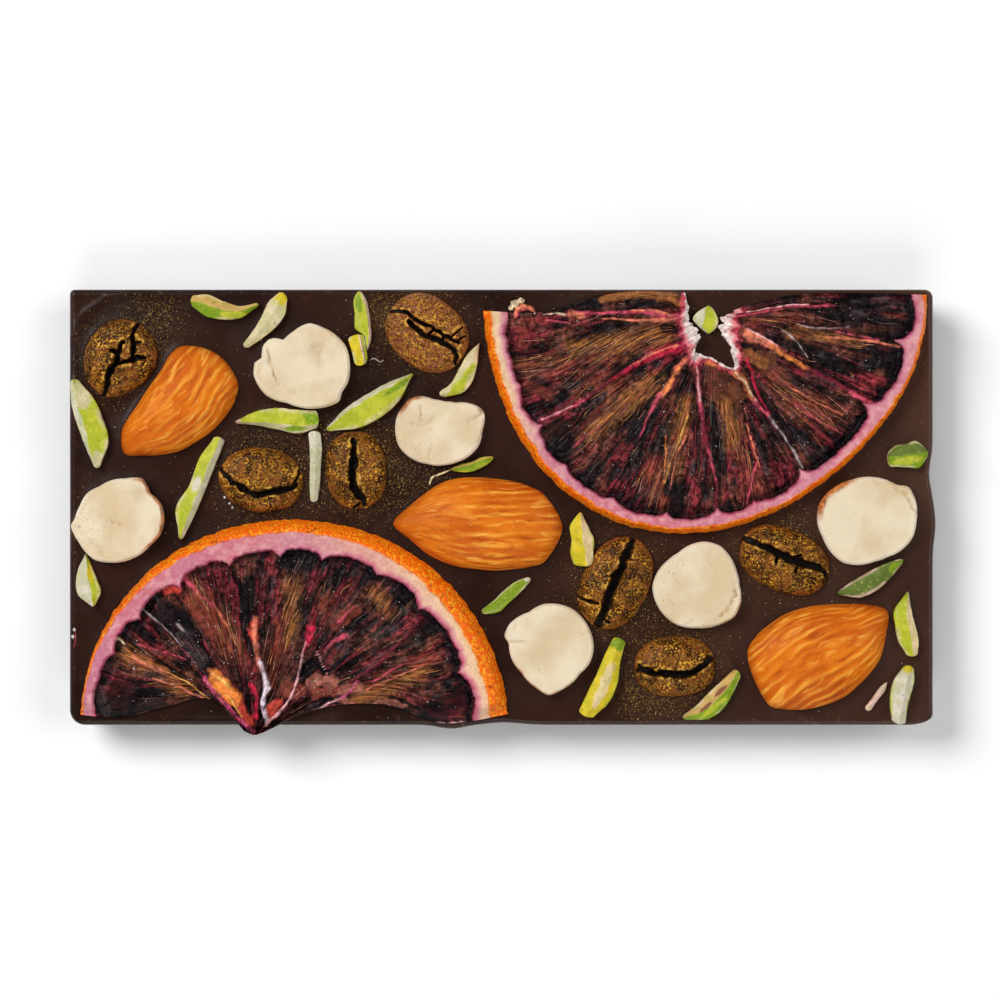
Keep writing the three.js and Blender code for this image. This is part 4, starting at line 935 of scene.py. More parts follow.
def bean_material():
    """Roasted coffee bean under a coat of gold dust, painted almost black as shade inside its crease and
    cracks.
    """
    paint = Paint("dusted_bean", specular=0.08)
    mottle = paint.noise(620, 5, distortion=0.8)
    base = paint.mixed((0.030, 0.0078, 0.0022), (0.185, 0.055, 0.009), paint.step(mottle, 0.38, 0.66))
    blotch = paint.step(paint.noise(1900, 4), 0.36, 0.64)
    ruddy = paint.mixed((0.10, 0.028, 0.010), (0.32, 0.105, 0.038), blotch)
    base = paint.mixed(base, ruddy, paint.value("red"))
    dust = paint.step(paint.noise(3300, 4), 0.50, 0.62)
    drift = paint.step(paint.noise(650, 3), 0.34, 0.62, 0.3, 1.0)
    gilt = paint.maths("MULTIPLY", paint.maths("MULTIPLY", dust, drift), paint.value("gilt"))
    base = paint.mixed(base, (0.80, 0.38, 0.030), gilt)
    base = paint.mixed(base, (0.34, 0.105, 0.030), paint.value("rim"))
    # Lighter gold along the raised lips of creases and cracks: gold dust with a painted highlight
    base = paint.mixed(base, (0.85, 0.46, 0.080), paint.value("lip"))
    # Painted shade: near black in the creases and cracks
    base = paint.mixed(base, (0.004, 0.002, 0.0015), paint.value("crease"))
    paint.bump(paint.maths("ADD", paint.noise(2600, 4), mottle), 0.10, 0.9)
    metallic = paint.maths("MULTIPLY", gilt, 0.2)
    roughness = paint.step(gilt, 0.0, 1.0, 0.42, 0.34)
    return paint.finish(Base_Color=base, Metallic=metallic, Roughness=roughness)


def pistachio_material():
    """Slivered pistachio: a waxy cut face whose tone comes with the shape."""
    paint = Paint("pistachio_flesh", specular=0.15)
    tone = paint.colour("tone")
    cloud = paint.step(paint.noise(700, 4), 0.36, 0.66)
    base = paint.mixed(paint.scaled(tone, (0.82, 0.88, 0.74)), paint.scaled(tone, (1.08, 1.07, 1.16)), cloud)
    fleck = paint.step(paint.noise(2400, 3), 0.58, 0.72, 0.0, 0.4)
    base = paint.mixed(base, (0.74, 0.66, 0.24), fleck)
    pits = paint.step(paint.noise(1700, 3), 0.40, 0.28, 0.0, 0.6)
    base = paint.scaled(base, (0.45, 0.5, 0.3), pits)
    base = paint.mixed(base, (0.24, 0.09, 0.05), paint.value("husk"))
    paint.bump(paint.maths("ADD", paint.noise(2300, 4), cloud), 0.07, 0.8)
    return paint.finish(Base_Color=base, Roughness=0.55)


def gold_material():
    paint = Paint("gold_dust")
    glow = paint.mixed((0.42, 0.26, 0.05), (0.85, 0.62, 0.20), paint.step(paint.noise(900, 2), 0.35, 0.65))
    return paint.finish(Base_Color=glow, Metallic=0.5, Roughness=0.4)


def crumb_material():
    paint = Paint("pale_crumbs", specular=0.3)
    tone = paint.mixed((0.40, 0.36, 0.37), (0.85, 0.80, 0.76), paint.step(paint.noise(500, 2), 0.35, 0.65))
    return paint.finish(Base_Color=tone, Roughness=0.7)


def swell(side, place):
    """How far the poured edge stands out at a place on a side."""
    return sum(out * bell(place - at, reach) for s, at, out, reach in EDGE_SWELLS if s == side)


def bar_plan(u, v):
    """Places on the bar's outline and inside it, from a square grid of -1 to 1 both ways."""
    x = mix(BAR_LEFT, BAR_RIGHT, (u + 1) / 2)
    y = mix(BAR_FRONT, BAR_BACK, (v + 1) / 2)
    for (right, back), (wide, deep) in CORNERS.items():
        cx = (BAR_RIGHT if right > 0 else BAR_LEFT) - right * wide
        cy = (BAR_BACK if back > 0 else BAR_FRONT) - back * deep
        p, q = (x - cx) * right / wide, (y - cy) * back / deep
        inside = (p > 0) & (q > 0)
        length = np.maximum(np.hypot(p, q), 1e-9)
        scale = np.where(inside, np.maximum(p, q) / length, 1.0)
        x = np.where(inside, cx + right * wide * p * scale, x)
        y = np.where(inside, cy + back * deep * q * scale, y)
    near_right = smooth(-5, 0, x - BAR_RIGHT)
    near_front = smooth(-5, 0, BAR_FRONT - y)
    return x + swell("right", y) * near_right, y - swell("front", x) * near_front


def slice_rim(spec, share):
    """The outer edge of a slice: an arc that wavers a little."""
    x, y = spec["centre"]
    count, size, at = spec["waver"]
    angle = np.radians(mix(spec["arc"][0], spec["arc"][1], share))
    reach = spec["radius"] + size * np.cos(count * (angle - math.radians(at)))
    reach = reach + 0.10 * noise(angle * 26, 1.0, seed=107) + 0.06 * noise(angle * 70, 2.0, seed=108)
    return np.stack([x + reach * np.cos(angle), y + reach * np.sin(angle)], -1)


def slice_core(spec, share):
    """The inner edge of a slice, ragged where it is fuzzy."""
    line = curve(spec["core"], share)
    ragged = noise(share * 26, 1.0, seed=109) + 0.6 * noise(share * 70, 2.0, seed=110)
    pull = 0.007 * reading(spec["fuzz"], share) * ragged
    return line + (slice_rim(spec, share) - line) * pull[..., None]


def slice_plan(spec, share, out):
    """A place on a slice: share runs along the arc, and out from 0 at the core to 1 at the skin."""
    place = mix(slice_core(spec, share), slice_rim(spec, share), out[..., None])
    for line, end in ((spec["near"], 0.0), (spec["far"], 1.0)):
        at_end = np.full(np.shape(share), end)
        straight = mix(slice_core(spec, at_end), slice_rim(spec, at_end), out[..., None])
        pull = bell(share - end, EDGE_FADE)
        place = place + (curve(line, out) - straight) * pull[..., None]
    return place


def slice_outline(spec):
    t = np.linspace(0, 1, 240)
    one, none = np.ones_like(t), np.zeros_like(t)
    parts = [slice_plan(spec, t, one), slice_plan(spec, one, t[::-1])]
    parts += [slice_plan(spec, t[::-1], none), slice_plan(spec, none, t)]
    return np.concatenate(parts)


def almond_stations(nut):
    return np.linspace(-0.8, 0.8, len(nut.left)) * nut.half


def almond_loop(nut):
    """The outline of an almond in its own frame."""
    x = almond_stations(nut).tolist()
    right = [(a, -b) for a, b in zip(x, nut.right)]
    left = list(zip(x, nut.left))[::-1]
    return loop_curve([*nut.heel, *right, (nut.point, 0.0), *left])


def reach_loop(reach):
    """The outline given by reaches in some directions, eased between them."""
    degrees = sorted(reach)
    reaches = [reach[d] for d in degrees]
    angle = np.arange(0, 360, 1.5)
    near = [np.interp(angle + shift, degrees, reaches, period=360) for shift in (-3, -1.5, 0, 1.5, 3)]
    far = np.mean(near, axis=0)
    return np.stack([far * np.cos(np.radians(angle)), far * np.sin(np.radians(angle))], -1)


def bean_loop(bean):
    if bean.reach:
        return reach_loop(bean.reach)
    angle = np.linspace(0, TURN, 240, endpoint=False)
    c, s = np.cos(angle) / (bean.length / 2), np.sin(angle) / (bean.width / 2)
    far = (np.abs(c) ** 2.3 + np.abs(s) ** 2.3) ** (-1 / 2.3)
    return np.stack([far * np.cos(angle), far * np.sin(angle)], -1)


def reach_along(loop, angle):
    """How far an outline lies from the middle in each direction."""
    return np.interp(angle, np.arctan2(loop[:, 1], loop[:, 0]), np.hypot(*loop.T), period=TURN)


def sliver_length(sliver):
    return math.dist(sliver.start, sliver.end)


def sliver_turn(sliver):
    return math.degrees(math.atan2(sliver.end[1] - sliver.start[1], sliver.end[0] - sliver.start[0]))


def sliver_loop(sliver):
    x = np.linspace(0, sliver_length(sliver), 30)
    share = np.linspace(0, 1, 30)
    left = np.stack([x, offsets(sliver.left, share)], -1)
    right = np.stack([x, offsets(sliver.right, share)], -1)
    return np.concatenate([right, left[::-1]])


def offsets(values, share):
    """Offsets at even stations, read along a smooth curve."""
    return curve([(v,) for v in values], share)[..., 0]


def collar(x, y, outline, height, reach):
    """How the chocolate climbs at a topping, falling off away from its outline."""
    low, high = outline.min(0) - 5, outline.max(0) + 5
    near = (x > low[0]) & (x < high[0]) & (y > low[1]) & (y < high[1])
    rise = np.zeros(x.shape)
    px, py = x[near], y[near]
    line = outline[:: max(1, len(outline) // 160)]
    gap = distance_to_line(px, py, [*line, line[0]])[0]
    rise[near] = height * np.exp(-gap / reach)
    return rise


def topping_outlines():
    """Every topping's outline on the bar, with the height and reach of its collar."""
    for n in ALMONDS:
        yield placed(almond_loop(n), n.tip, n.x, n.y), 0.2, 0.8
    for n in HAZELNUTS:
        yield placed(reach_loop(n.reach), 0, n.x, n.y), 0.15, 0.7
    for b in COFFEE_BEANS:
        yield placed(bean_loop(b), b.turn, b.x, b.y), 0.15, 0.7
    for s in PISTACHIOS:
        yield placed(sliver_loop(s), sliver_turn(s), *s.start), 0.1, 0.4
    for s in (UPPER_SLICE, LOWER_SLICE):
        yield slice_outline(s), 0.12, 0.6


def bar_surface(x, y, inward):
    """Height of the poured face, with collars round the toppings and a thin lip at the edge."""
    climb = sum(collar(x, y, *topping) ** 3 for topping in topping_outlines()) ** (1 / 3)
    z = BAR_TOP + climb * (1 + 0.25 * rough(x / 2.5, y / 2.5, seed=3))
    z += 0.07 * rough(x / 9, y / 9, seed=5, octaves=2) + 0.012 * rough(x / 0.9, y / 0.9, seed=9)
    z += 0.16 * bell(inward - 0.7, 0.5) * (0.6 + 0.6 * noise(x / 5, y / 5, seed=11))
    z += 0.13 * bell(distance_to_line(x, y, CORNER_RIDGE)[0], 0.5)
    return z - TOP_EDGE * np.clip(1 - inward / TOP_EDGE, 0, 1) ** 2


def dustiness(x, y):
    """How thick the gold dust lies."""
    total = np.zeros(np.shape(x))
    for (cx, cy), spread, count in DUST_CLOUDS:
        total += count / spread**2 * np.exp(-((x - cx) ** 2 + (y - cy) ** 2) / (1.6 * spread**2))
    return np.clip(total / 45, 0, 1)


def bar_sides(edge, middle, half):
    """Rings of points down the drafted sides, a little worn, below the edge of the poured face."""
    rings = []
    for height, inset in SIDE_LEVELS:
        ring = edge.copy()
        worn = 0.03 + 0.03 * rough(edge[:, 0] / 3, edge[:, 1] / 3, height / 3, seed=21)
        scale = 1 - (inset + (worn[:, None] if height > 0.3 else 0)) / half
        ring[:, :2] = middle + (edge[:, :2] - middle) * scale
        ring[:, 2] = height
        rings.append(ring)
    return rings


def build_bar(material):
    """The slab: a poured top with all its relief, drafted sides and a flat foot."""
    columns, rows = ((400, 204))
    v, u = np.meshgrid(np.linspace(-1, 1, rows), np.linspace(-1, 1, columns), indexing="ij")
    x, y = bar_plan(u, v)
    half = np.array([(BAR_RIGHT - BAR_LEFT) / 2, (BAR_BACK - BAR_FRONT) / 2])
    middle = np.array([(BAR_LEFT + BAR_RIGHT) / 2, (BAR_BACK + BAR_FRONT) / 2])
    inward = np.minimum((1 - np.abs(u)) * half[0], (1 - np.abs(v)) * half[1])
    top = np.stack([x, y, bar_surface(x, y, inward)], -1)
    grid = np.arange(rows * columns).reshape(rows, columns)
    rim = np.concatenate([grid[0], grid[1:-1, -1], grid[-1, ::-1], grid[-2:0:-1, 0]])
    sides = bar_sides(top.reshape(-1, 3)[rim], middle, half)
    points = np.concatenate([top.reshape(-1, 3), *sides])
    faces = [tuple(f) for f in quads(rows, columns, False)[:, ::-1].tolist()]
    rings = [rim, *(rows * columns + k * len(rim) + np.arange(len(rim)) for k in range(len(sides)))]
    for upper, lower in zip(rings[:-1], rings[1:]):
        faces += wall(lower, upper)
    faces.append(tuple(rings[-1][::-1].tolist()))
    below = np.full(len(rim) * len(sides), 0.0)
    light = 0.42 * smooth(-10, 62, x) + 0.4 * smooth(55, 62, x) * smooth(-8, 8, y)
    values = {
        "edge": np.concatenate([np.exp(-inward.ravel() / 0.8), below + 0.5]),
        "dust": np.concatenate([dustiness(x, y).ravel(), below]),
        "light": np.concatenate([light.ravel(), below]),
    }
    make_piece("chocolate_bar", points, faces, material, ["chocolate_slab"], values)


def slice_bands(spec, share, out):
    """For each place: how far it is from the rim, from the skin's and the flesh's edges and from the
    nearest joint, its way round the arc and how far it lies across its segment."""
    reach = np.linalg.norm(slice_rim(spec, share) - curve(spec["core"], share), axis=-1)
    inward = (1 - out) * reach
    span = math.radians(spec["arc"][1] - spec["arc"][0]) * spec["radius"]
    arc = share * span
    ends = np.array([(a - spec["arc"][0]) / (spec["arc"][1] - spec["arc"][0]) for a, _ in spec["joints"]])
    gaps = np.abs(arc[..., None] - ends * span)
    to_joint = gaps.min(-1)
    skin_edge = reading(spec["skin"], share) + 0.16 * rough(arc / 1.6, 3.3, seed=31)
    pith_edge = skin_edge + reading(spec["pith"], share) + 0.12 * rough(arc / 0.9, 7.7, seed=33)
    cusp = np.array([size for _, size in spec["joints"]])[gaps.argmin(-1)] * np.exp(-to_joint / 0.7)
    shares = np.concatenate([[0.0], ends, [1.0]])
    k = np.clip(np.searchsorted(shares, share) - 1, 0, len(shares) - 2)
    across = (share - shares[k]) / (shares[k + 1] - shares[k])
    flesh_edge = pith_edge + cusp - 0.35 * np.sin(math.pi * across)
    return reach, inward, arc, to_joint, across, skin_edge, flesh_edge


def patches_at(spec, x, y):
    """How light and fibrous the pulp is at a place, and the tone it takes there."""
    total = np.zeros(np.shape(x))
    tone = np.zeros((*np.shape(x), 3))
    for name, strength, half, way in spec["patches"]:
        amount = strength * bell(distance_to_line(x, y, way)[0], half * 1.25)
        tone = np.where((amount > total)[..., None], PATCH_TONES[name], tone)
        total = np.maximum(total, amount)
    return total, tone


def flesh_relief(spec, x, y, arc, inward, across):
    """Height and tone of the pulp with its streaks and lumps, and how fibrous it is."""
    bend = noise(arc / 3, inward / 5, seed=41)
    streak = noise(arc * 1.1 + 1.2 * bend, inward / 3.2, seed=43)
    fine = noise(arc * 3.0 + 1.6 * bend, inward / 2.4, seed=47)
    thread = noise(arc * 4.6 + 2.0 * bend, inward / 3.4, seed=45)
    lumps = rough(x / 1.5, y / 1.5, seed=49)
    crinkle = ridged(x / 1.1 + 0.5 * bend, y / 1.1, seed=51)
    z = FLESH_HEIGHT + 0.30 * (0.4 - np.abs(streak)) + 0.08 * fine + 0.22 * lumps + 0.08 * crinkle
    z -= FLESH_SAG * np.sin(math.pi * across)
    tone = np.empty((*x.shape, 3))
    tone[:] = FLESH_TONES["deep"]
    cloud = smooth(-0.2, 0.8, noise(arc / 2.4, inward / 5, seed=61) + 0.5 * noise(x / 1.3, y / 1.3, seed=63))
    tone = blend_tone(tone, FLESH_TONES["brown"], cloud)
    ruby = smooth(0.0, 0.8, noise(arc / 1.7, inward / 4.5, seed=67) + 0.5 * fine)
    tone = blend_tone(tone, FLESH_TONES["ruby"], ruby * 0.7)
    # Painted reflection: grey patches of painted sheen over the pulp
    sheen = smooth(0.3, 0.9, noise(arc / 1.2, inward / 3, seed=69) + 0.4 * lumps)
    tone = blend_tone(tone, FLESH_TONES["sheen"], sheen * 0.6)
    tone = tone * (0.35 + 0.5 * smooth(-0.2, 0.9, crinkle) + 0.8 * smooth(-0.2, 0.6, thread))[..., None]
    patch, patch_tone = patches_at(spec, x, y)
    lit = smooth(-0.4, 0.6, 0.3 * streak + 0.5 * fine + 0.5 * thread)
    light = patch * (0.2 + 0.8 * lit)
    tone = tone + (patch_tone - tone) * light[..., None]
    # Painted shade: black where the streaks sink into the pulp, less in the fibrous patches
    tone = blend_tone(tone, FILM_TONES["black"], smooth(0.2, 0.7, -streak) * (0.9 - 0.7 * patch))
    return z + 0.2 * patch * lit, tone, patch


def add_films(spec, x, y, z, tone, patch):
    """Smooth skins that lie over the pulp, and hollows in it painted black as shade; a black film that does
    not sink is dark pulp. Gives how smooth it is too.
    """
    calm = np.zeros(x.shape)
    wander_x = 0.5 * rough(x / 1.6, y / 1.6, seed=77)
    wander_y = 0.5 * rough(x / 1.6, y / 1.6, seed=78)
    shade = rough(x / 1.1, y / 1.1, seed=80)
    for name, half, strength, height, way in spec["films"]:
        near = distance_to_line(x + wander_x, y + wander_y, way)[0]
        cover = strength * (1 - smooth(0.65, 1.1, near / half))
        here = np.asarray(FILM_TONES[name]) * (1 + 0.3 * shade)[..., None]
        tone = tone + (here - tone) * cover[..., None]
        z = mix(z, FLESH_HEIGHT + height + 0.05 * shade, 0.8 * cover)
        patch = patch * (1 - cover)
        calm = np.maximum(calm, cover)
    return z, tone, patch, calm


def add_strands(spec, x, y, z, tone, patch, calm):
    """Membranes and threads that stand out on the pulp, wide at one end and thin at the other. Some pale
    strands along a membrane are painted highlights.
    """
    wander_x = 0.25 * rough(x / 3.2, y / 3.2, seed=73)
    wander_y = 0.25 * rough(x / 3.2, y / 3.2, seed=75)
    edge = rough(x / 1.0, y / 1.0, seed=79)
    shade = rough(x / 0.8, y / 0.8, seed=83)
    worn = 0.45 + 0.55 * smooth(-0.5, 0.3, noise(x / 0.6, y / 0.6, seed=84))
    for name, start, end, height, way in spec["strands"]:
        near, along = distance_to_line(x + wander_x, y + wander_y, way)
        share = near / (mix(start, end, along) * (1 + 0.35 * edge))
        z = z + 0.6 * height * bell(share, 1.1)
        here = np.asarray(STRAND_TONES[name]) * (1 + 0.35 * shade)[..., None]
        here = blend_tone(here, STRAND_TONES["wine"], 0.5 * smooth(0.5, 1.2, share))
        cover = (1 - smooth(0.6, 1.5, share)) * worn
        tone = tone + (here - tone) * cover[..., None]
        patch = patch * (1 - cover)
        calm = np.maximum(calm, cover)
    return z, tone, patch, calm


def slice_relief(spec, share, out, x, y):
    """Height and tone of a slice at each place, with how wet the flesh is, where skin shows, and how
    fibrous or smooth the pulp is."""
    reach, inward, arc, to_joint, across, skin_edge, flesh_edge = slice_bands(spec, share, out)
    flesh = smooth(-0.06, 0.12, inward - flesh_edge)
    on_skin = 1 - smooth(-0.12, 0.12, inward - skin_edge)
    z, tone, patch = flesh_relief(spec, x, y, arc, inward, across)

    seam = bell(to_joint * (0.25 + 0.75 * out), 0.22) * smooth(0.1, 0.45, out)
    seam *= smooth(-0.1, 0.7, noise(arc * 0.7, inward / 3.5, seed=71))
    z += 0.25 * seam
    tone = blend_tone(tone, FLESH_TONES["seam"], np.clip(seam, 0, 1) * 0.6)

    # The moat beside the pith is sunk and painted black: painted shade in that hollow
    shaded_moat = bell(inward - flesh_edge - 0.6, 0.65) * (0.25 + 0.75 * reading(spec["deep"], share))
    hollow = 0.5 + 0.5 * noise(x / 3.5, y / 3.5, seed=53)
    z -= 0.7 * shaded_moat * hollow
    tone = blend_tone(tone, FILM_TONES["black"], np.clip(shaded_moat, 0, 1))
    z, tone, patch, calm = add_films(spec, x, y, z, tone, patch)
    z, tone, patch, calm = add_strands(spec, x, y, z, tone, patch, calm)

    pith_top, peel_top = rim_relief(x, y, inward, skin_edge)
    z = mix(pith_top, z, smooth(-0.3, 0.4, inward - flesh_edge))
    z = mix(z, peel_top, on_skin)
    pith = pith_tone(spec, share, x, y, inward - skin_edge, inward - flesh_edge)
    tone = mix(pith, tone, flesh[..., None])
    tone = blend_tone(tone, PEEL_TONES["orange"], on_skin)
    rim_line = bell(inward - skin_edge - 0.02, 0.15) * smooth(-0.3, 0.5, noise(arc * 1.3, 2.0, seed=99))
    tone = blend_tone(tone, PEEL_TONES["line"], rim_line * 0.7)

    tone, at_core, rise = add_fluff(spec, share, x, y, out * reach, tone)
    z += rise
    return z, tone, flesh * (1 - at_core), on_skin, patch, calm


def rim_relief(x, y, inward, skin_edge):
    """Height of the pith at each place, and of the skin that rounds off outside it."""
    pith = mix(SKIN_HEIGHT, PITH_HEIGHT, np.clip((inward - skin_edge) / 2.0, 0, 1))
    pith = pith + 0.10 * rough(x / 0.8, y / 0.8, seed=89)
    slope = np.clip(inward / np.maximum(skin_edge, 0.2), 0, 1)
    peel = PEEL_EDGE + (SKIN_HEIGHT - PEEL_EDGE) * np.sin(slope * math.pi / 2) ** 0.85
    peel = peel + 0.05 * rough(x / 0.6, y / 0.6, seed=97) * slope
    return pith, np.minimum(peel, SKIN_HEIGHT)


def add_fluff(spec, share, x, y, from_core, tone):
    """Tone with the ragged fluff at the core, where that fluff lies and how far it stands up."""
    fuzz = reading(spec["fuzz"], share)
    crumbly = rough(x / 0.5, y / 0.5, seed=103)
    ragged = fuzz + (0.5 * rough(x / 1.3, y / 1.3, seed=102) + 0.25 * crumbly) * (fuzz > 0)
    at_core = smooth(0.2, -0.2, from_core - ragged) * (fuzz > 0.05)
    blush = smooth(0.4, 0.95, from_core / np.maximum(ragged, 0.2) + 0.3 * crumbly)
    blush = np.maximum(blush, 0.7 * smooth(0.88, 0.97, share))
    fluff = blend_tone(np.broadcast_to(FLUFF_TONES["white"], tone.shape), FLUFF_TONES["pink"], blush)
    # Lighter where the crumbs rise and darker between them: painted shade on the fluff
    tone = tone + (fluff * (1 + 0.35 * crumbly)[..., None] - tone) * at_core[..., None]
    border = bell(from_core - ragged - 0.15, 0.3) * (fuzz > 0.05) * 0.8
    tone = blend_tone(tone, FLUFF_TONES["rose"], border)
    return tone, at_core, (0.5 + 0.4 * crumbly) * at_core


def pith_tone(spec, share, x, y, from_skin, from_flesh):
    """Lilac pink, cream where the fruit was paler, and magenta beside the pulp."""
    pith = np.empty((*x.shape, 3))
    pith[:] = PITH_TONES["pink"]
    lilac = smooth(-0.3, 0.7, noise(x / 5, y / 5, seed=106))
    pith = blend_tone(pith, PITH_TONES["lilac"], lilac * 0.8)
    pale = smooth(-0.4, 0.7, rough(x / 0.8, y / 0.8, seed=101, octaves=4))
    pith = blend_tone(pith, PITH_TONES["pale"], pale * 0.65)
    creamy = reading(spec["cream"], share) * smooth(-0.35, -1.1, from_flesh)
    pith = blend_tone(pith, PITH_TONES["cream"], creamy)
    pith = blend_tone(pith, PITH_TONES["amber"], creamy * bell(from_skin, 0.4) * 0.5)
    inner = smooth(-0.55, 0.05, from_flesh) * (0.65 + 0.6 * rough(x / 0.7, y / 0.7, seed=105))
    return blend_tone(pith, PITH_TONES["magenta"], np.clip(inner, 0, 1) * 0.9)


def build_slice(spec, material):
    """A dried half slice: the relief on top, an upright wall round it and a flat floor."""
    columns, rows = ((620, 170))
    q = np.linspace(0, 1, rows)
    spread = np.where(q < 0.36, q / 0.36 * 0.17, 0.17 + (q - 0.36) / 0.64 * 0.83)
    share, out = np.meshgrid(np.linspace(0, 1, columns), 1 - spread, indexing="ij")
    plan = slice_plan(spec, share, out)
    x, y = plan[..., 0], plan[..., 1]
    height, tone, wet, skin, fibrous, calm = slice_relief(spec, share, out, x, y)
    border = np.minimum(np.minimum(share, 1 - share) * 40, 1)
    height = mix(np.minimum(height, 0.6), height, smooth(0, 1, border))
    top = np.stack([x, y, BAR_TOP + np.clip(height, 0.15, 3.4)], -1).reshape(-1, 3)
    grid = np.arange(columns * rows).reshape(columns, rows)
    rim = np.concatenate([grid[:, 0], grid[-1, 1:], grid[-2::-1, -1], grid[0, -2:0:-1]])
    floor = top[rim].copy()
    floor[:, 2] = SLICE_FLOOR
    under = len(top) + np.arange(len(rim))
    faces = [tuple(f) for f in quads(columns, rows, False).tolist()]
    faces += wall(under, rim)
    faces.append(tuple(under[::-1].tolist()))

    def extend(a):
        flat = a.reshape(len(top), -1)
        return np.concatenate([flat, flat[rim]])

    arc = share * (spec["arc"][1] - spec["arc"][0]) / 180
    values = {"tone": extend(tone), "wet": extend(wet), "skin": extend(skin)}
    values |= {"fibrous": extend(fibrous), "calm": extend(calm)}
    make_piece(spec["node"] + "_dried", np.concatenate([top, floor]), faces, material,
               [spec["node"]], values, extend(np.stack([arc, out], -1)))


def build_fibres(spec, material):
    """Thin strands of pulp that lie along the flesh of a slice, as one mesh."""
    count, steps = ((spec["fibres"], 8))
    random = np.random.default_rng(len(spec["strands"]))
    share = random.uniform(0.02, 0.98, 6 * count)
    out = random.uniform(0.06, 0.80, 6 * count)
    spot = slice_plan(spec, share, out)
    light = patches_at(spec, spot[:, 0], spot[:, 1])[0]
    kept = np.flatnonzero(random.random(6 * count) < (0.05 + light**1.5) * (0.25 + out))[:count]
    share, out, light = share[kept], out[kept], light[kept]
    reach = np.linalg.norm(slice_rim(spec, share) - curve(spec["core"], share), axis=-1)
    length = random.uniform(0.8, 4.0, len(kept)) / reach
    drift = random.normal(0, 0.005, len(kept)) + 0.005 * noise(share * 30, out * 6, seed=5)
    sway = random.normal(0, 0.0012, len(kept))
    t = np.linspace(0, 1, steps)[None, :]
    shares = share[:, None] + drift[:, None] * t + sway[:, None] * np.sin(t * 5)
    outs = np.clip(out[:, None] + length[:, None] * t, 0.03, 0.93)
    plan = slice_plan(spec, shares, outs)
    ground, _, wet, _, _, _ = slice_relief(spec, shares, outs, plan[..., 0], plan[..., 1])
    lying = ground + random.uniform(0.0, 0.06, (len(kept), 1))
    centre = np.stack([plan[..., 0], plan[..., 1], BAR_TOP + lying], -1)
    half = random.uniform(0.02, 0.06, (len(kept), 1)) * np.sin(math.pi * (0.06 + 0.88 * t)) ** 0.6
    dry = wet.min(axis=1) > 0.75
    centre, half, light = centre[dry], half[dry], light[dry]
    tones = np.array(list(FIBRE_TONES.values()))
    none = 0 * light
    chance = np.stack([0.05 + 0.8 * light, 0.1 + 0.4 * light, none + 0.3, none + 0.15], -1)
    chance = np.cumsum(chance / chance.sum(-1, keepdims=True), -1)
    pick = (random.random((len(light), 1)) > chance).sum(-1).clip(0, len(tones) - 1)
    tone = tones[pick] * random.uniform(0.4, 1.1, (len(light), 1))
    make_tubes(spec["node"] + "_pulp", centre, half, tone, material)


def make_tubes(name, centre, half, tone, material):
    """Thin four-sided tubes along rows of middle points, each in its tone, as one mesh."""
    count, steps = half.shape
    heading = np.gradient(centre[..., :2], axis=1)
    heading /= np.maximum(np.linalg.norm(heading, axis=-1, keepdims=True), 1e-6)
    side = np.stack([-heading[..., 1] * half, heading[..., 0] * half, 0 * half], -1)
    lift = np.stack([0 * half, 0 * half, 0.8 * half], -1)
    ring = np.stack([centre + side, centre + lift, centre - side, centre - lift], 2)
    ends = np.array([(3, 2, 1, 0), tuple((steps - 1) * 4 + k for k in range(4))])
    one = np.concatenate([quads(steps, 4, True), ends])
    faces = (one[None] + np.arange(count)[:, None, None] * steps * 4).reshape(-1, 4)
    faces = [tuple(f) for f in faces.tolist()]
    colours = np.broadcast_to(tone[:, None, None, :], ring.shape)
    make_piece(name, ring.reshape(-1, 3), faces, material, values={"tone": colours})


def build_threads(material):
    """The loose threads and curls, each lying a little above what is under it."""
    surface = surface_below()
    t = np.linspace(0, 1, THREAD_STEPS)
    centre, half, tones = [], [], []
    for name, thick, way in LOOSE_THREADS:
        flat = curve(way, t) + 0.06 * thick * noise(t * 9, thick * 40, seed=111)[:, None]
        ground = np.array([hit_below(surface, x, y).z / MM for x, y in flat])
        ground = np.convolve(np.pad(ground, 3, "edge"), np.ones(7) / 7, "valid")
        centre.append(np.concatenate([flat, np.minimum(ground + 0.6 * thick, TALLEST - thick)[:, None]], 1))
        uneven = 1 + 0.4 * noise(t * 8, thick * 50, seed=112)
        half.append(thick * (0.35 + 0.65 * np.sin(math.pi * t) ** 0.5) * uneven)
        tones.append(STRAND_TONES[name])
    make_tubes("loose_threads", np.array(centre), np.array(half), np.array(tones), material)


def shell(loop, top, belly, rings, under, around):
    """A body inside an outline: its face by place and share outwards, and its belly by the share.
    Gives the points, the faces, and the place, share and direction of each point for its looks."""
    angle = (TURN * np.arange(around) / around)[None, :]
    below = np.sin((np.arange(under) + 0.6) / (under - 0.4) * math.pi / 2)[:, None]
    above = np.cos(np.arange(rings) / (rings - 0.3) * math.pi / 2)[:, None]
    share = np.concatenate([below, above])
    upper = np.arange(under + rings)[:, None] >= under
    far = reach_along(loop, angle)
    px, py = share * far * np.cos(angle), share * far * np.sin(angle)
    pz = np.where(upper, top(px, py, share), belly(share))
    body = np.stack([px, py, pz], -1)
    ends = [[(0, 0, body[0, :, 2].mean())], [(0, 0, body[-1, :, 2].mean())]]
    points = np.concatenate([ends[0], body.reshape(-1, 3), ends[1]])

    def pad(a):
        full = np.broadcast_to(a, px.shape)
        return np.concatenate([[full[0].mean()], full.ravel(), [full[-1].mean()]])

    return points, closed_faces(under + rings, around), pad, (px, py, share, angle, upper)


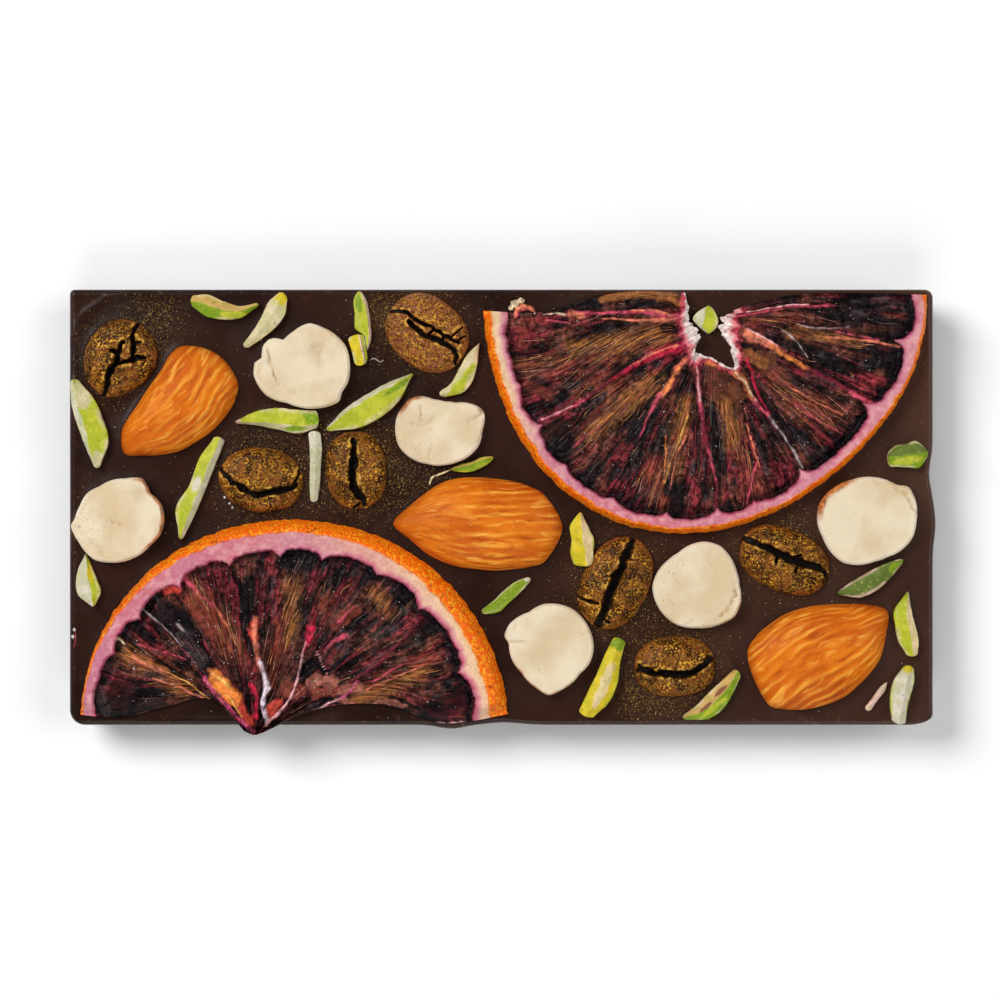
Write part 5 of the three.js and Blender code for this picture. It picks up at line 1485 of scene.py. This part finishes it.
def almond_lines(nut, px, py, upper):
    """Pattern coordinates of an almond's skin: how far round the nut and how far along it."""
    stations = [*almond_stations(nut), nut.point]
    left, right = (np.interp(px, stations, [*side, 0.6]) for side in (nut.left, nut.right))
    least = np.where(px < 0, 0.92, 0.55) * max(nut.left)
    wide = np.maximum(np.where(py > 0, left, right), least)
    turn = np.arcsin(np.clip(py / wide, -1, 1))
    turn = np.where(upper, turn, math.pi - turn)
    along = px / nut.half
    return turn - nut.bow * (1 - along**2) * np.cos(turn), along


def almond_ridge(index, nut, turn, along):
    """0 in a groove of the skin and 1 on a ridge; the wavy stripes fade where the skin is calm."""
    warp = 0.9 * noise(turn * 1.2, along * 1.8, seed=index)
    warp = warp + 0.5 * noise(turn * 3.5, along * 4.5, seed=index + 7)
    stripe = 0.5 + 0.5 * np.sin(turn * nut.stripes * 2 + 3.2 * warp)
    fine = 0.5 + 0.5 * noise(turn * 14 + warp, along * 5, seed=index + 13)
    calm = smooth(nut.calm, nut.calm + 0.45, along) * 0.8
    broken = (0.55 + 0.45 * noise(turn * 3, along * 4, seed=index + 17)) * (1 - calm)
    return np.clip(mix(0.42, stripe, broken) * 0.7 + 0.4 * fine, 0, 1)


def build_almond(index, nut, material):
    """An almond lying flat, its lines drawn together at both ends."""
    rings, under, around = ((110, 30, 300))
    half_thick = nut.thick / 2

    def relief(px, py):
        turn, along = almond_lines(nut, px, py, True)
        lumps = rough(px / 1.6, py / 1.6, seed=index + 11)
        return ALMOND_RELIEF * (1 - almond_ridge(index, nut, turn, along)) + 0.05 * np.abs(lumps)

    def top(px, py, share):
        return half_thick * np.sqrt(1 - share**2) - relief(px, py) * np.sqrt(1 - share**2)

    def belly(share):
        return -half_thick * np.sqrt(1 - share**2)

    loop = almond_loop(nut)
    points, faces, pad, (px, py, share, _, upper) = shell(loop, top, belly, rings, under, around)
    turn, along = almond_lines(nut, px, py, upper)
    ridge = almond_ridge(index, nut, turn, along)
    # Darker towards both ends, and painted shade towards the rim where the nut curves down
    dark = 0.6 * smooth(0.55, 1.0, along) + 0.35 * smooth(0.80, 0.98, -along) + 0.5 * smooth(0.88, 1.0, share)
    dark = dark * (0.7 + 0.5 * noise(turn * 5, along * 5, seed=index + 5))
    plan = np.stack([pad(turn / TURN), pad(along)], -1)
    values = {"ridge": pad(ridge), "dark": np.clip(pad(dark), 0, 1)}
    name = f"almond_{index}"
    points = turned(points, nut.tip, (nut.x, nut.y, BAR_TOP + ALMOND_SEAT))
    make_piece(name + "_skin", points, faces, material, [name], values, plan)


def hazelnut_marks(nut, px, py):
    """Dishes, cracks and tan patches of a half nut, as depth and tan amount; the tan is brown patches and
    painted shade in the dishes and cracks.
    """
    depth = np.zeros(np.shape(px))
    tan = np.zeros(np.shape(px))
    for cx, cy, wide, deep, shade in nut.dishes:
        fall = np.exp(-((px - cx) ** 2 + (py - cy) ** 2) / wide**2)
        depth = depth + deep * fall
        tan = tan + shade * fall
    for way, half, deep, shade in nut.lines:
        near, along = distance_to_line(px + 0.25 * noise(px * 1.6, py * 1.6, seed=7), py, way)
        broken = smooth(-0.6, 0.4, noise(along * 7, half * 30, seed=8))
        depth = depth + 1.3 * deep * bell(near, half) * (0.5 + 0.5 * broken)
        tan = tan + shade * bell(near, half * 0.55) * broken
    return depth, tan


def build_hazelnut(index, nut, material):
    """Half a hazelnut: a worn cut face with a rounded rim above a domed underside."""
    rings, under, around = ((110, 26, 240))

    def top(px, py, share):
        edge_round = 0.5 * np.clip((share - 0.93) / 0.07, 0, 1) ** 2
        gentle = 0.12 * rough(px / 3.0, py / 3.0, seed=index + 50)
        pits = 0.03 * rough(px / 0.7, py / 0.7, seed=index + 60)
        chips = 0.2 * smooth(0.0, 0.8, noise(px / 1.5, py / 1.5, seed=index + 65)) * smooth(0.72, 0.95, share)
        return HAZELNUT_RISE + gentle + pits - chips - edge_round - hazelnut_marks(nut, px, py)[0]

    def belly(share):
        return 0.45 * share**6 - HAZELNUT_DEPTH * np.sqrt(1 - share**2)

    loop = reach_loop(nut.reach)
    points, faces, pad, (px, py, share, angle, upper) = shell(loop, top, belly, rings, under, around)
    tan = hazelnut_marks(nut, px, py)[1]
    start, end, breadth = nut.husk
    away = np.abs((np.degrees(angle) - (start + end) / 2 + 180) % 360 - 180)
    patch = smooth((end - start) / 2 + 12, (end - start) / 2 - 8, away)
    ragged = 0.03 * noise(px / 0.8, py / 0.8, seed=index + 70)
    band = smooth(0.985 - 0.13 * breadth, 1.0 - 0.05 * breadth, share + ragged)
    band = band * patch * (0.55 + 0.45 * breadth)
    husk = np.where(upper, band, 0.08 + 0.8 * patch)
    # Painted highlight: paler in patches along the rounded rim
    pale = 0.6 * smooth(0.90, 0.98, share) * smooth(-0.6, 0.5, noise(px / 2, py / 2, seed=index + 80))
    values = {"husk": np.clip(pad(husk), 0, 1), "tan": np.clip(pad(tan), 0, 1), "rim": pad(pale)}
    name = f"hazelnut_{index}"
    points = turned(points, 0, (nut.x, nut.y, BAR_TOP))
    make_piece(name + "_half", points, faces, material, [name], values)


def bean_marks(index, bean, px, py):
    """How deep in a crease or a crack each place lies, and how close to a crease's lips."""
    wander = 0.16 * noise(px * 1.4, py * 1.4, seed=index + 9)
    ragged = 1.05 + 0.28 * noise(px * 1.1, py * 1.1, seed=index + 120)
    ragged = ragged + 0.15 * noise(px * 3, py * 3, seed=index + 125)
    cut = np.zeros(np.shape(px))
    lip = np.zeros(np.shape(px))
    for ways, shallow in ((bean.creases, 1.0), (bean.cracks, 0.95)):
        for way, half in ways:
            near, along = distance_to_line(px + wander, py + wander, way)
            width = 1.2 * half * ragged * (0.6 + 0.4 * np.sin(math.pi * np.clip(along, 0.05, 0.95)) ** 0.5)
            cut = np.maximum(cut, (1 - smooth(0.6, 1.15, near / width)) * shallow)
            lip = np.maximum(lip, bell(near - width - 0.2, 0.2) * shallow)
    return cut, lip * (1 - cut)


def build_bean(index, bean, material):
    """A roasted bean with its crease, cracks and puckered skin under the dust."""
    rings, under, around = ((150, 20, 300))

    def top(px, py, share):
        cut, lip = bean_marks(index, bean, px, py)
        pucker = rough(px / 1.1, py / 1.1, seed=index + 140, octaves=4)
        dome = BEAN_RISE * (1 - share**3.4) ** 0.55
        fade = np.sqrt(1 - share**2)
        return dome - (1.3 * cut - 0.16 * lip - 0.12 * pucker) * fade

    def belly(share):
        return -BEAN_DEPTH * np.sqrt(1 - share**2)

    loop = bean_loop(bean)
    points, faces, pad, (px, py, share, _, upper) = shell(loop, top, belly, rings, under, around)
    cut, lip = bean_marks(index, bean, px, py)
    ridge_dust = smooth(-0.5, 0.5, rough(px / 1.1, py / 1.1, seed=index + 140, octaves=4))
    gilt = (0.35 + 0.65 * ridge_dust) * (1 - 0.7 * smooth(0.9, 1.0, share))
    glint = smooth(0.1, 0.6, noise(px / 0.5, py / 0.5, seed=index + 150))
    rim = 0.7 * bell(share - 0.95, 0.02) * smooth(-0.3, 0.5, noise(px / 1.6, py / 1.6, seed=index + 160))
    values = {
        # crease: painted shade, near black in the creases and cracks
        "crease": np.clip(pad(np.where(upper, cut, 0)), 0, 1),
        # lip: lighter gold on the raised lips, gold dust with a painted highlight
        "lip": np.clip(pad(np.where(upper, lip * glint * 0.7, 0)), 0, 1),
        "gilt": np.clip(pad(gilt), 0, 1),
        "rim": pad(rim),
        "red": pad(0.7 if index == RUDDY_BEAN else 0.0),
    }
    name = f"coffee_bean_{index}"
    points = turned(points, bean.turn, (bean.x, bean.y, BAR_TOP))
    make_piece(name + "_roasted", points, faces, material, [name], values)


def sliver_section(sliver, share, height, columns):
    """Points round a sliver at each station: two facets that meet at the crease, and its sides."""
    left, right = offsets(sliver.left, share), offsets(sliver.right, share)
    from_end = np.minimum(share, 1 - share) * sliver_length(sliver)
    drawn_in = np.sqrt(1 - np.clip(1 - from_end / END_ROUND, 0, 1) ** 2)
    left, right = mix((left + right) / 2, (left, right), drawn_in)
    crease = np.clip(offsets(sliver.crease, share), mix(right, left, 0.1), mix(right, left, 0.9))
    t = np.linspace(0, 1, columns)[None, :]
    peak = height * (0.72 + 0.28 * np.sin(math.pi * np.clip(share, 0.05, 0.95)) ** 0.5)
    edge = 0.62 * peak
    y = np.concatenate([mix(left, crease, t), mix(crease, right, t)[:, 1:]], 1)
    z = np.concatenate([mix(edge, peak, t), mix(peak, edge, t)[:, 1:]], 1)
    side = np.concatenate([-t[:, ::-1], t[:, 1:]], 1)
    low = np.array([[0.72, 0.35, -0.25]]) * edge
    y = np.concatenate([y, right - 0.04 + 0 * low, left + 0.04 + 0 * low], 1)
    z = np.concatenate([z, low, low[:, ::-1]], 1)
    side = np.concatenate([side, np.array([[1.0] * 3 + [-1.0] * 3])], 1)
    return y, z, np.broadcast_to(-side, y.shape)


def build_sliver(index, sliver, material):
    """A cut sliver of pistachio with flat facets, a pale rim and darker or lighter patches."""
    stations, columns = ((80, 18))
    share = (0.5 - 0.5 * np.cos(math.pi * (np.arange(stations) + 0.5) / stations))[:, None]
    width = np.mean(sliver.left) - np.mean(sliver.right)
    height = min(0.62 * width + 0.45, SLIVER_TALLEST)
    across, up, side = sliver_section(sliver, share, height, columns)
    length = sliver_length(sliver)
    px = share * length + 0 * across
    chips = 0.05 * rough(px / 0.9, across / 0.9, up / 0.9, seed=index + 200)
    body = np.stack([px, across + chips, up + 0.8 * chips * (up > 0.3)], -1)
    ends = [[(0, *body[0, :, 1:].mean(0))], [(length, *body[-1, :, 1:].mean(0))]]
    points = np.concatenate([ends[0], body.reshape(-1, 3), ends[1]])

    left, right, rim = (np.asarray(SLIVER_TONES[t]) for t in sliver.tones)
    sway = 0.12 * noise(px / 1.4, across, seed=index + 260)
    tone = mix(left, right, smooth(0.04, -0.04, side + sway)[..., None])
    for name, x, y, long, broad in sliver.patches:
        off = np.hypot((px - x) / long, (across - y) / broad)
        off = off + 0.25 * noise(px / 0.7, across / 0.7, seed=index + 270)
        tone = blend_tone(tone, SLIVER_TONES[name], smooth(1.15, 0.75, off))
    near_edge = (1 - np.abs(side)) * width / 2
    edging = smooth(0.32, 0.08, near_edge) * smooth(-0.5, 0.2, noise(px / 1.5, side * 2, seed=index + 280))
    tone = blend_tone(tone, rim, 0.75 * edging)
    husk = smooth(0.35, 0.7, noise(px / 1.1, side * 2.5, seed=index + 290))
    husk = husk * smooth(0.25, 0.0, near_edge) * 0.5

    def pad(a):
        flat = np.broadcast_to(a, (*across.shape, a.shape[-1])).reshape(-1, a.shape[-1])
        return np.concatenate([flat[:1], flat, flat[-1:]])

    values = {"tone": pad(tone), "husk": pad(husk[..., None])}
    name = f"pistachio_{index}"
    points = turned(points, sliver_turn(sliver), (*sliver.start, BAR_TOP))
    faces = [f[::-1] for f in closed_faces(stations, across.shape[1])]
    make_piece(name + "_sliver", points, faces, material, [name], values)


def scatter_spots(random):
    spots = []
    for middle, spread, count in DUST_CLOUDS:
        spots.append(random.normal(middle, spread * 0.75, (count, 2)))
    low, high = (BAR_LEFT + 0.5, BAR_FRONT + 0.5), (BAR_RIGHT - 0.5, BAR_BACK - 0.5)
    spots.append(random.uniform(low, high, (STRAY_GRAINS, 2)))
    spots = np.concatenate(spots)
    kept = np.all((spots > low) & (spots < high), axis=1)
    for index, bean in enumerate(COFFEE_BEANS, 1):
        px, py = placed(spots - (bean.x, bean.y), -bean.turn, 0, 0).T
        kept &= bean_marks(index, bean, px, py)[0] < 0.3
    return spots[kept]


def surface_below():
    """The upper surface of all the pieces made so far, for laying grains on."""
    points, faces = [], []
    for piece in MADE:
        start = len(points)
        points += [v.co.copy() for v in piece.data.vertices]
        faces += [[start + k for k in p.vertices] for p in piece.data.polygons if len(p.vertices) < 5]
    return BVHTree.FromPolygons(points, faces)


def hit_below(surface, x, y):
    """Where a place on the bar meets the surface from above, in metres."""
    return surface.ray_cast((x * MM, y * MM, RAY_START), (0, 0, -1))[0]


def make_grains(name, spots, sizes, surface, random, material):
    """Flat little grains, each an eight-sided flake lying on what is under it, as one mesh."""
    unit = np.array([(1, 0, 0), (0, 1, 0), (-1, 0, 0), (0, -1, 0), (0, 0, 0.45), (0, 0, -0.45)])
    sides = [(0, 1, 4), (1, 2, 4), (2, 3, 4), (3, 0, 4), (1, 0, 5), (2, 1, 5), (3, 2, 5), (0, 3, 5)]
    points, faces = [], []
    for (x, y), size in zip(spots, sizes):
        hit = hit_below(surface, x, y)
        if hit is None:
            continue
        spin = random.uniform(0, 360)
        grain = turned(unit * size * random.uniform(0.7, 1.3, 3), spin, (x, y, hit.z / MM + 0.3 * size))
        grain[:, 2] += (grain[:, 0] - x) * random.normal(0, 0.4)
        grain[:, 2] = np.minimum(grain[:, 2], TALLEST)
        start = len(points)
        points += grain.tolist()
        faces += [tuple(start + k for k in f) for f in sides]
    make_piece(name, np.array(points), faces, material)


def slice_specks(random, count):
    """Places of pale specks on the pulp of both slices: small grains that are painted glints."""
    spots = []
    for spec in (UPPER_SLICE, LOWER_SLICE):
        share, out = random.uniform(0.03, 0.97, count // 2), random.uniform(0.1, 0.9, count // 2) ** 0.6
        spots.append(slice_plan(spec, share, out * 0.88))
    return np.concatenate(spots)


def scatter_dust(gold, pale):
    random = np.random.default_rng(7)
    surface = surface_below()
    spots = scatter_spots(random)
    make_grains("gold_grains", spots, 0.038 + 0.055 * random.random(len(spots)) ** 3, surface, random, gold)
    chips = np.array(CHIPS)
    loose = random.uniform((-60, -30), (60, 30), (260, 2))
    specks = np.concatenate([chips, loose, slice_specks(random, PALE_SPECKS)])
    sizes = np.full(len(specks), 0.3)
    sizes[len(chips):] = 0.028 + 0.075 * random.random(len(specks) - len(chips)) ** 3
    make_grains("pale_crumbs", specks, sizes, surface, random, pale)


def add_camera():
    """Straight above the bar, with +Y up, framed as the photograph is."""
    data = bpy.data.cameras.new("camera")
    data.lens, data.sensor_width = LENS, SENSOR
    camera = bpy.data.objects.new("camera", data)
    x, y = VIEW_MIDDLE
    camera.location = (x * MM, y * MM, (BAR_TOP + VIEW_WIDTH * LENS / SENSOR) * MM)
    bpy.context.collection.objects.link(camera)
    bpy.context.scene.camera = camera


def add_light(name, place, size, power):
    """A round soft light aimed at the middle of the bar."""
    data = bpy.data.lights.new(name, "AREA")
    data.shape, data.size = "DISK", size
    data.energy = power
    light = bpy.data.objects.new(name, data)
    light.location = place
    x, y, z = place
    light.rotation_euler = (math.atan2(math.hypot(x, y), z), 0, math.atan2(x, -y))
    bpy.context.collection.objects.link(light)


def add_floor():
    paint = Paint("pale_floor", roughness=0.9, specular=0.1)
    speckle = paint.step(paint.noise(40, 2), 0.3, 0.7)
    tone = paint.mixed((0.93, 0.93, 0.93), (0.95, 0.95, 0.95), speckle)
    material = paint.finish(Base_Color=tone)
    mesh = bpy.data.meshes.new("floor")
    mesh.from_pydata([(-3, -3, 0), (3, -3, 0), (3, 3, 0), (-3, 3, 0)], [], [(0, 1, 2, 3)])
    floor = bpy.data.objects.new("floor", mesh)
    floor.location = (0, 0, -0.0001)
    mesh.materials.append(material)
    bpy.context.collection.objects.link(floor)


def light_studio():
    scene = bpy.context.scene
    scene.view_settings.view_transform = "Standard"
    world = bpy.data.worlds.new("studio")
    world.use_nodes = True
    world.node_tree.nodes["Background"].inputs["Color"].default_value = (1, 1, 1, 1)
    world.node_tree.nodes["Background"].inputs["Strength"].default_value = 0.05
    scene.world = world
    add_light("key", (-0.50, 0.36, 0.66), 0.5, 7.1)
    add_light("fill", (0.60, 0.1, 0.55), 0.7, 2.9)
    add_light("front", (0.0, -0.62, 0.5), 0.6, 2.6)


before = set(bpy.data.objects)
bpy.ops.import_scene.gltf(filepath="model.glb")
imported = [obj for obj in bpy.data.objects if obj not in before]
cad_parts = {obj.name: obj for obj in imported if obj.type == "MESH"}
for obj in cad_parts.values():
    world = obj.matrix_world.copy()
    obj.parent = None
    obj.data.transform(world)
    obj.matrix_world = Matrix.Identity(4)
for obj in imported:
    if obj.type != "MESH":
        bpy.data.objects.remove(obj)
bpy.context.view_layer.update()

add_camera()
light_studio()
add_floor()

build_bar(chocolate_material())

orange = orange_material()
pulp = fibre_material()
for spec in (UPPER_SLICE, LOWER_SLICE):
    build_slice(spec, orange)
    build_fibres(spec, pulp)

almond_skin = almond_material()
for i, nut in enumerate(ALMONDS, 1):
    build_almond(i, nut, almond_skin)

hazelnut_flesh = hazelnut_material()
for i, nut in enumerate(HAZELNUTS, 1):
    build_hazelnut(i, nut, hazelnut_flesh)

dusted_bean = bean_material()
for i, bean in enumerate(COFFEE_BEANS, 1):
    build_bean(i, bean, dusted_bean)

pistachio_flesh = pistachio_material()
for i, sliver in enumerate(PISTACHIOS, 1):
    build_sliver(i, sliver, pistachio_flesh)

build_threads(pulp)
scatter_dust(gold_material(), crumb_material())
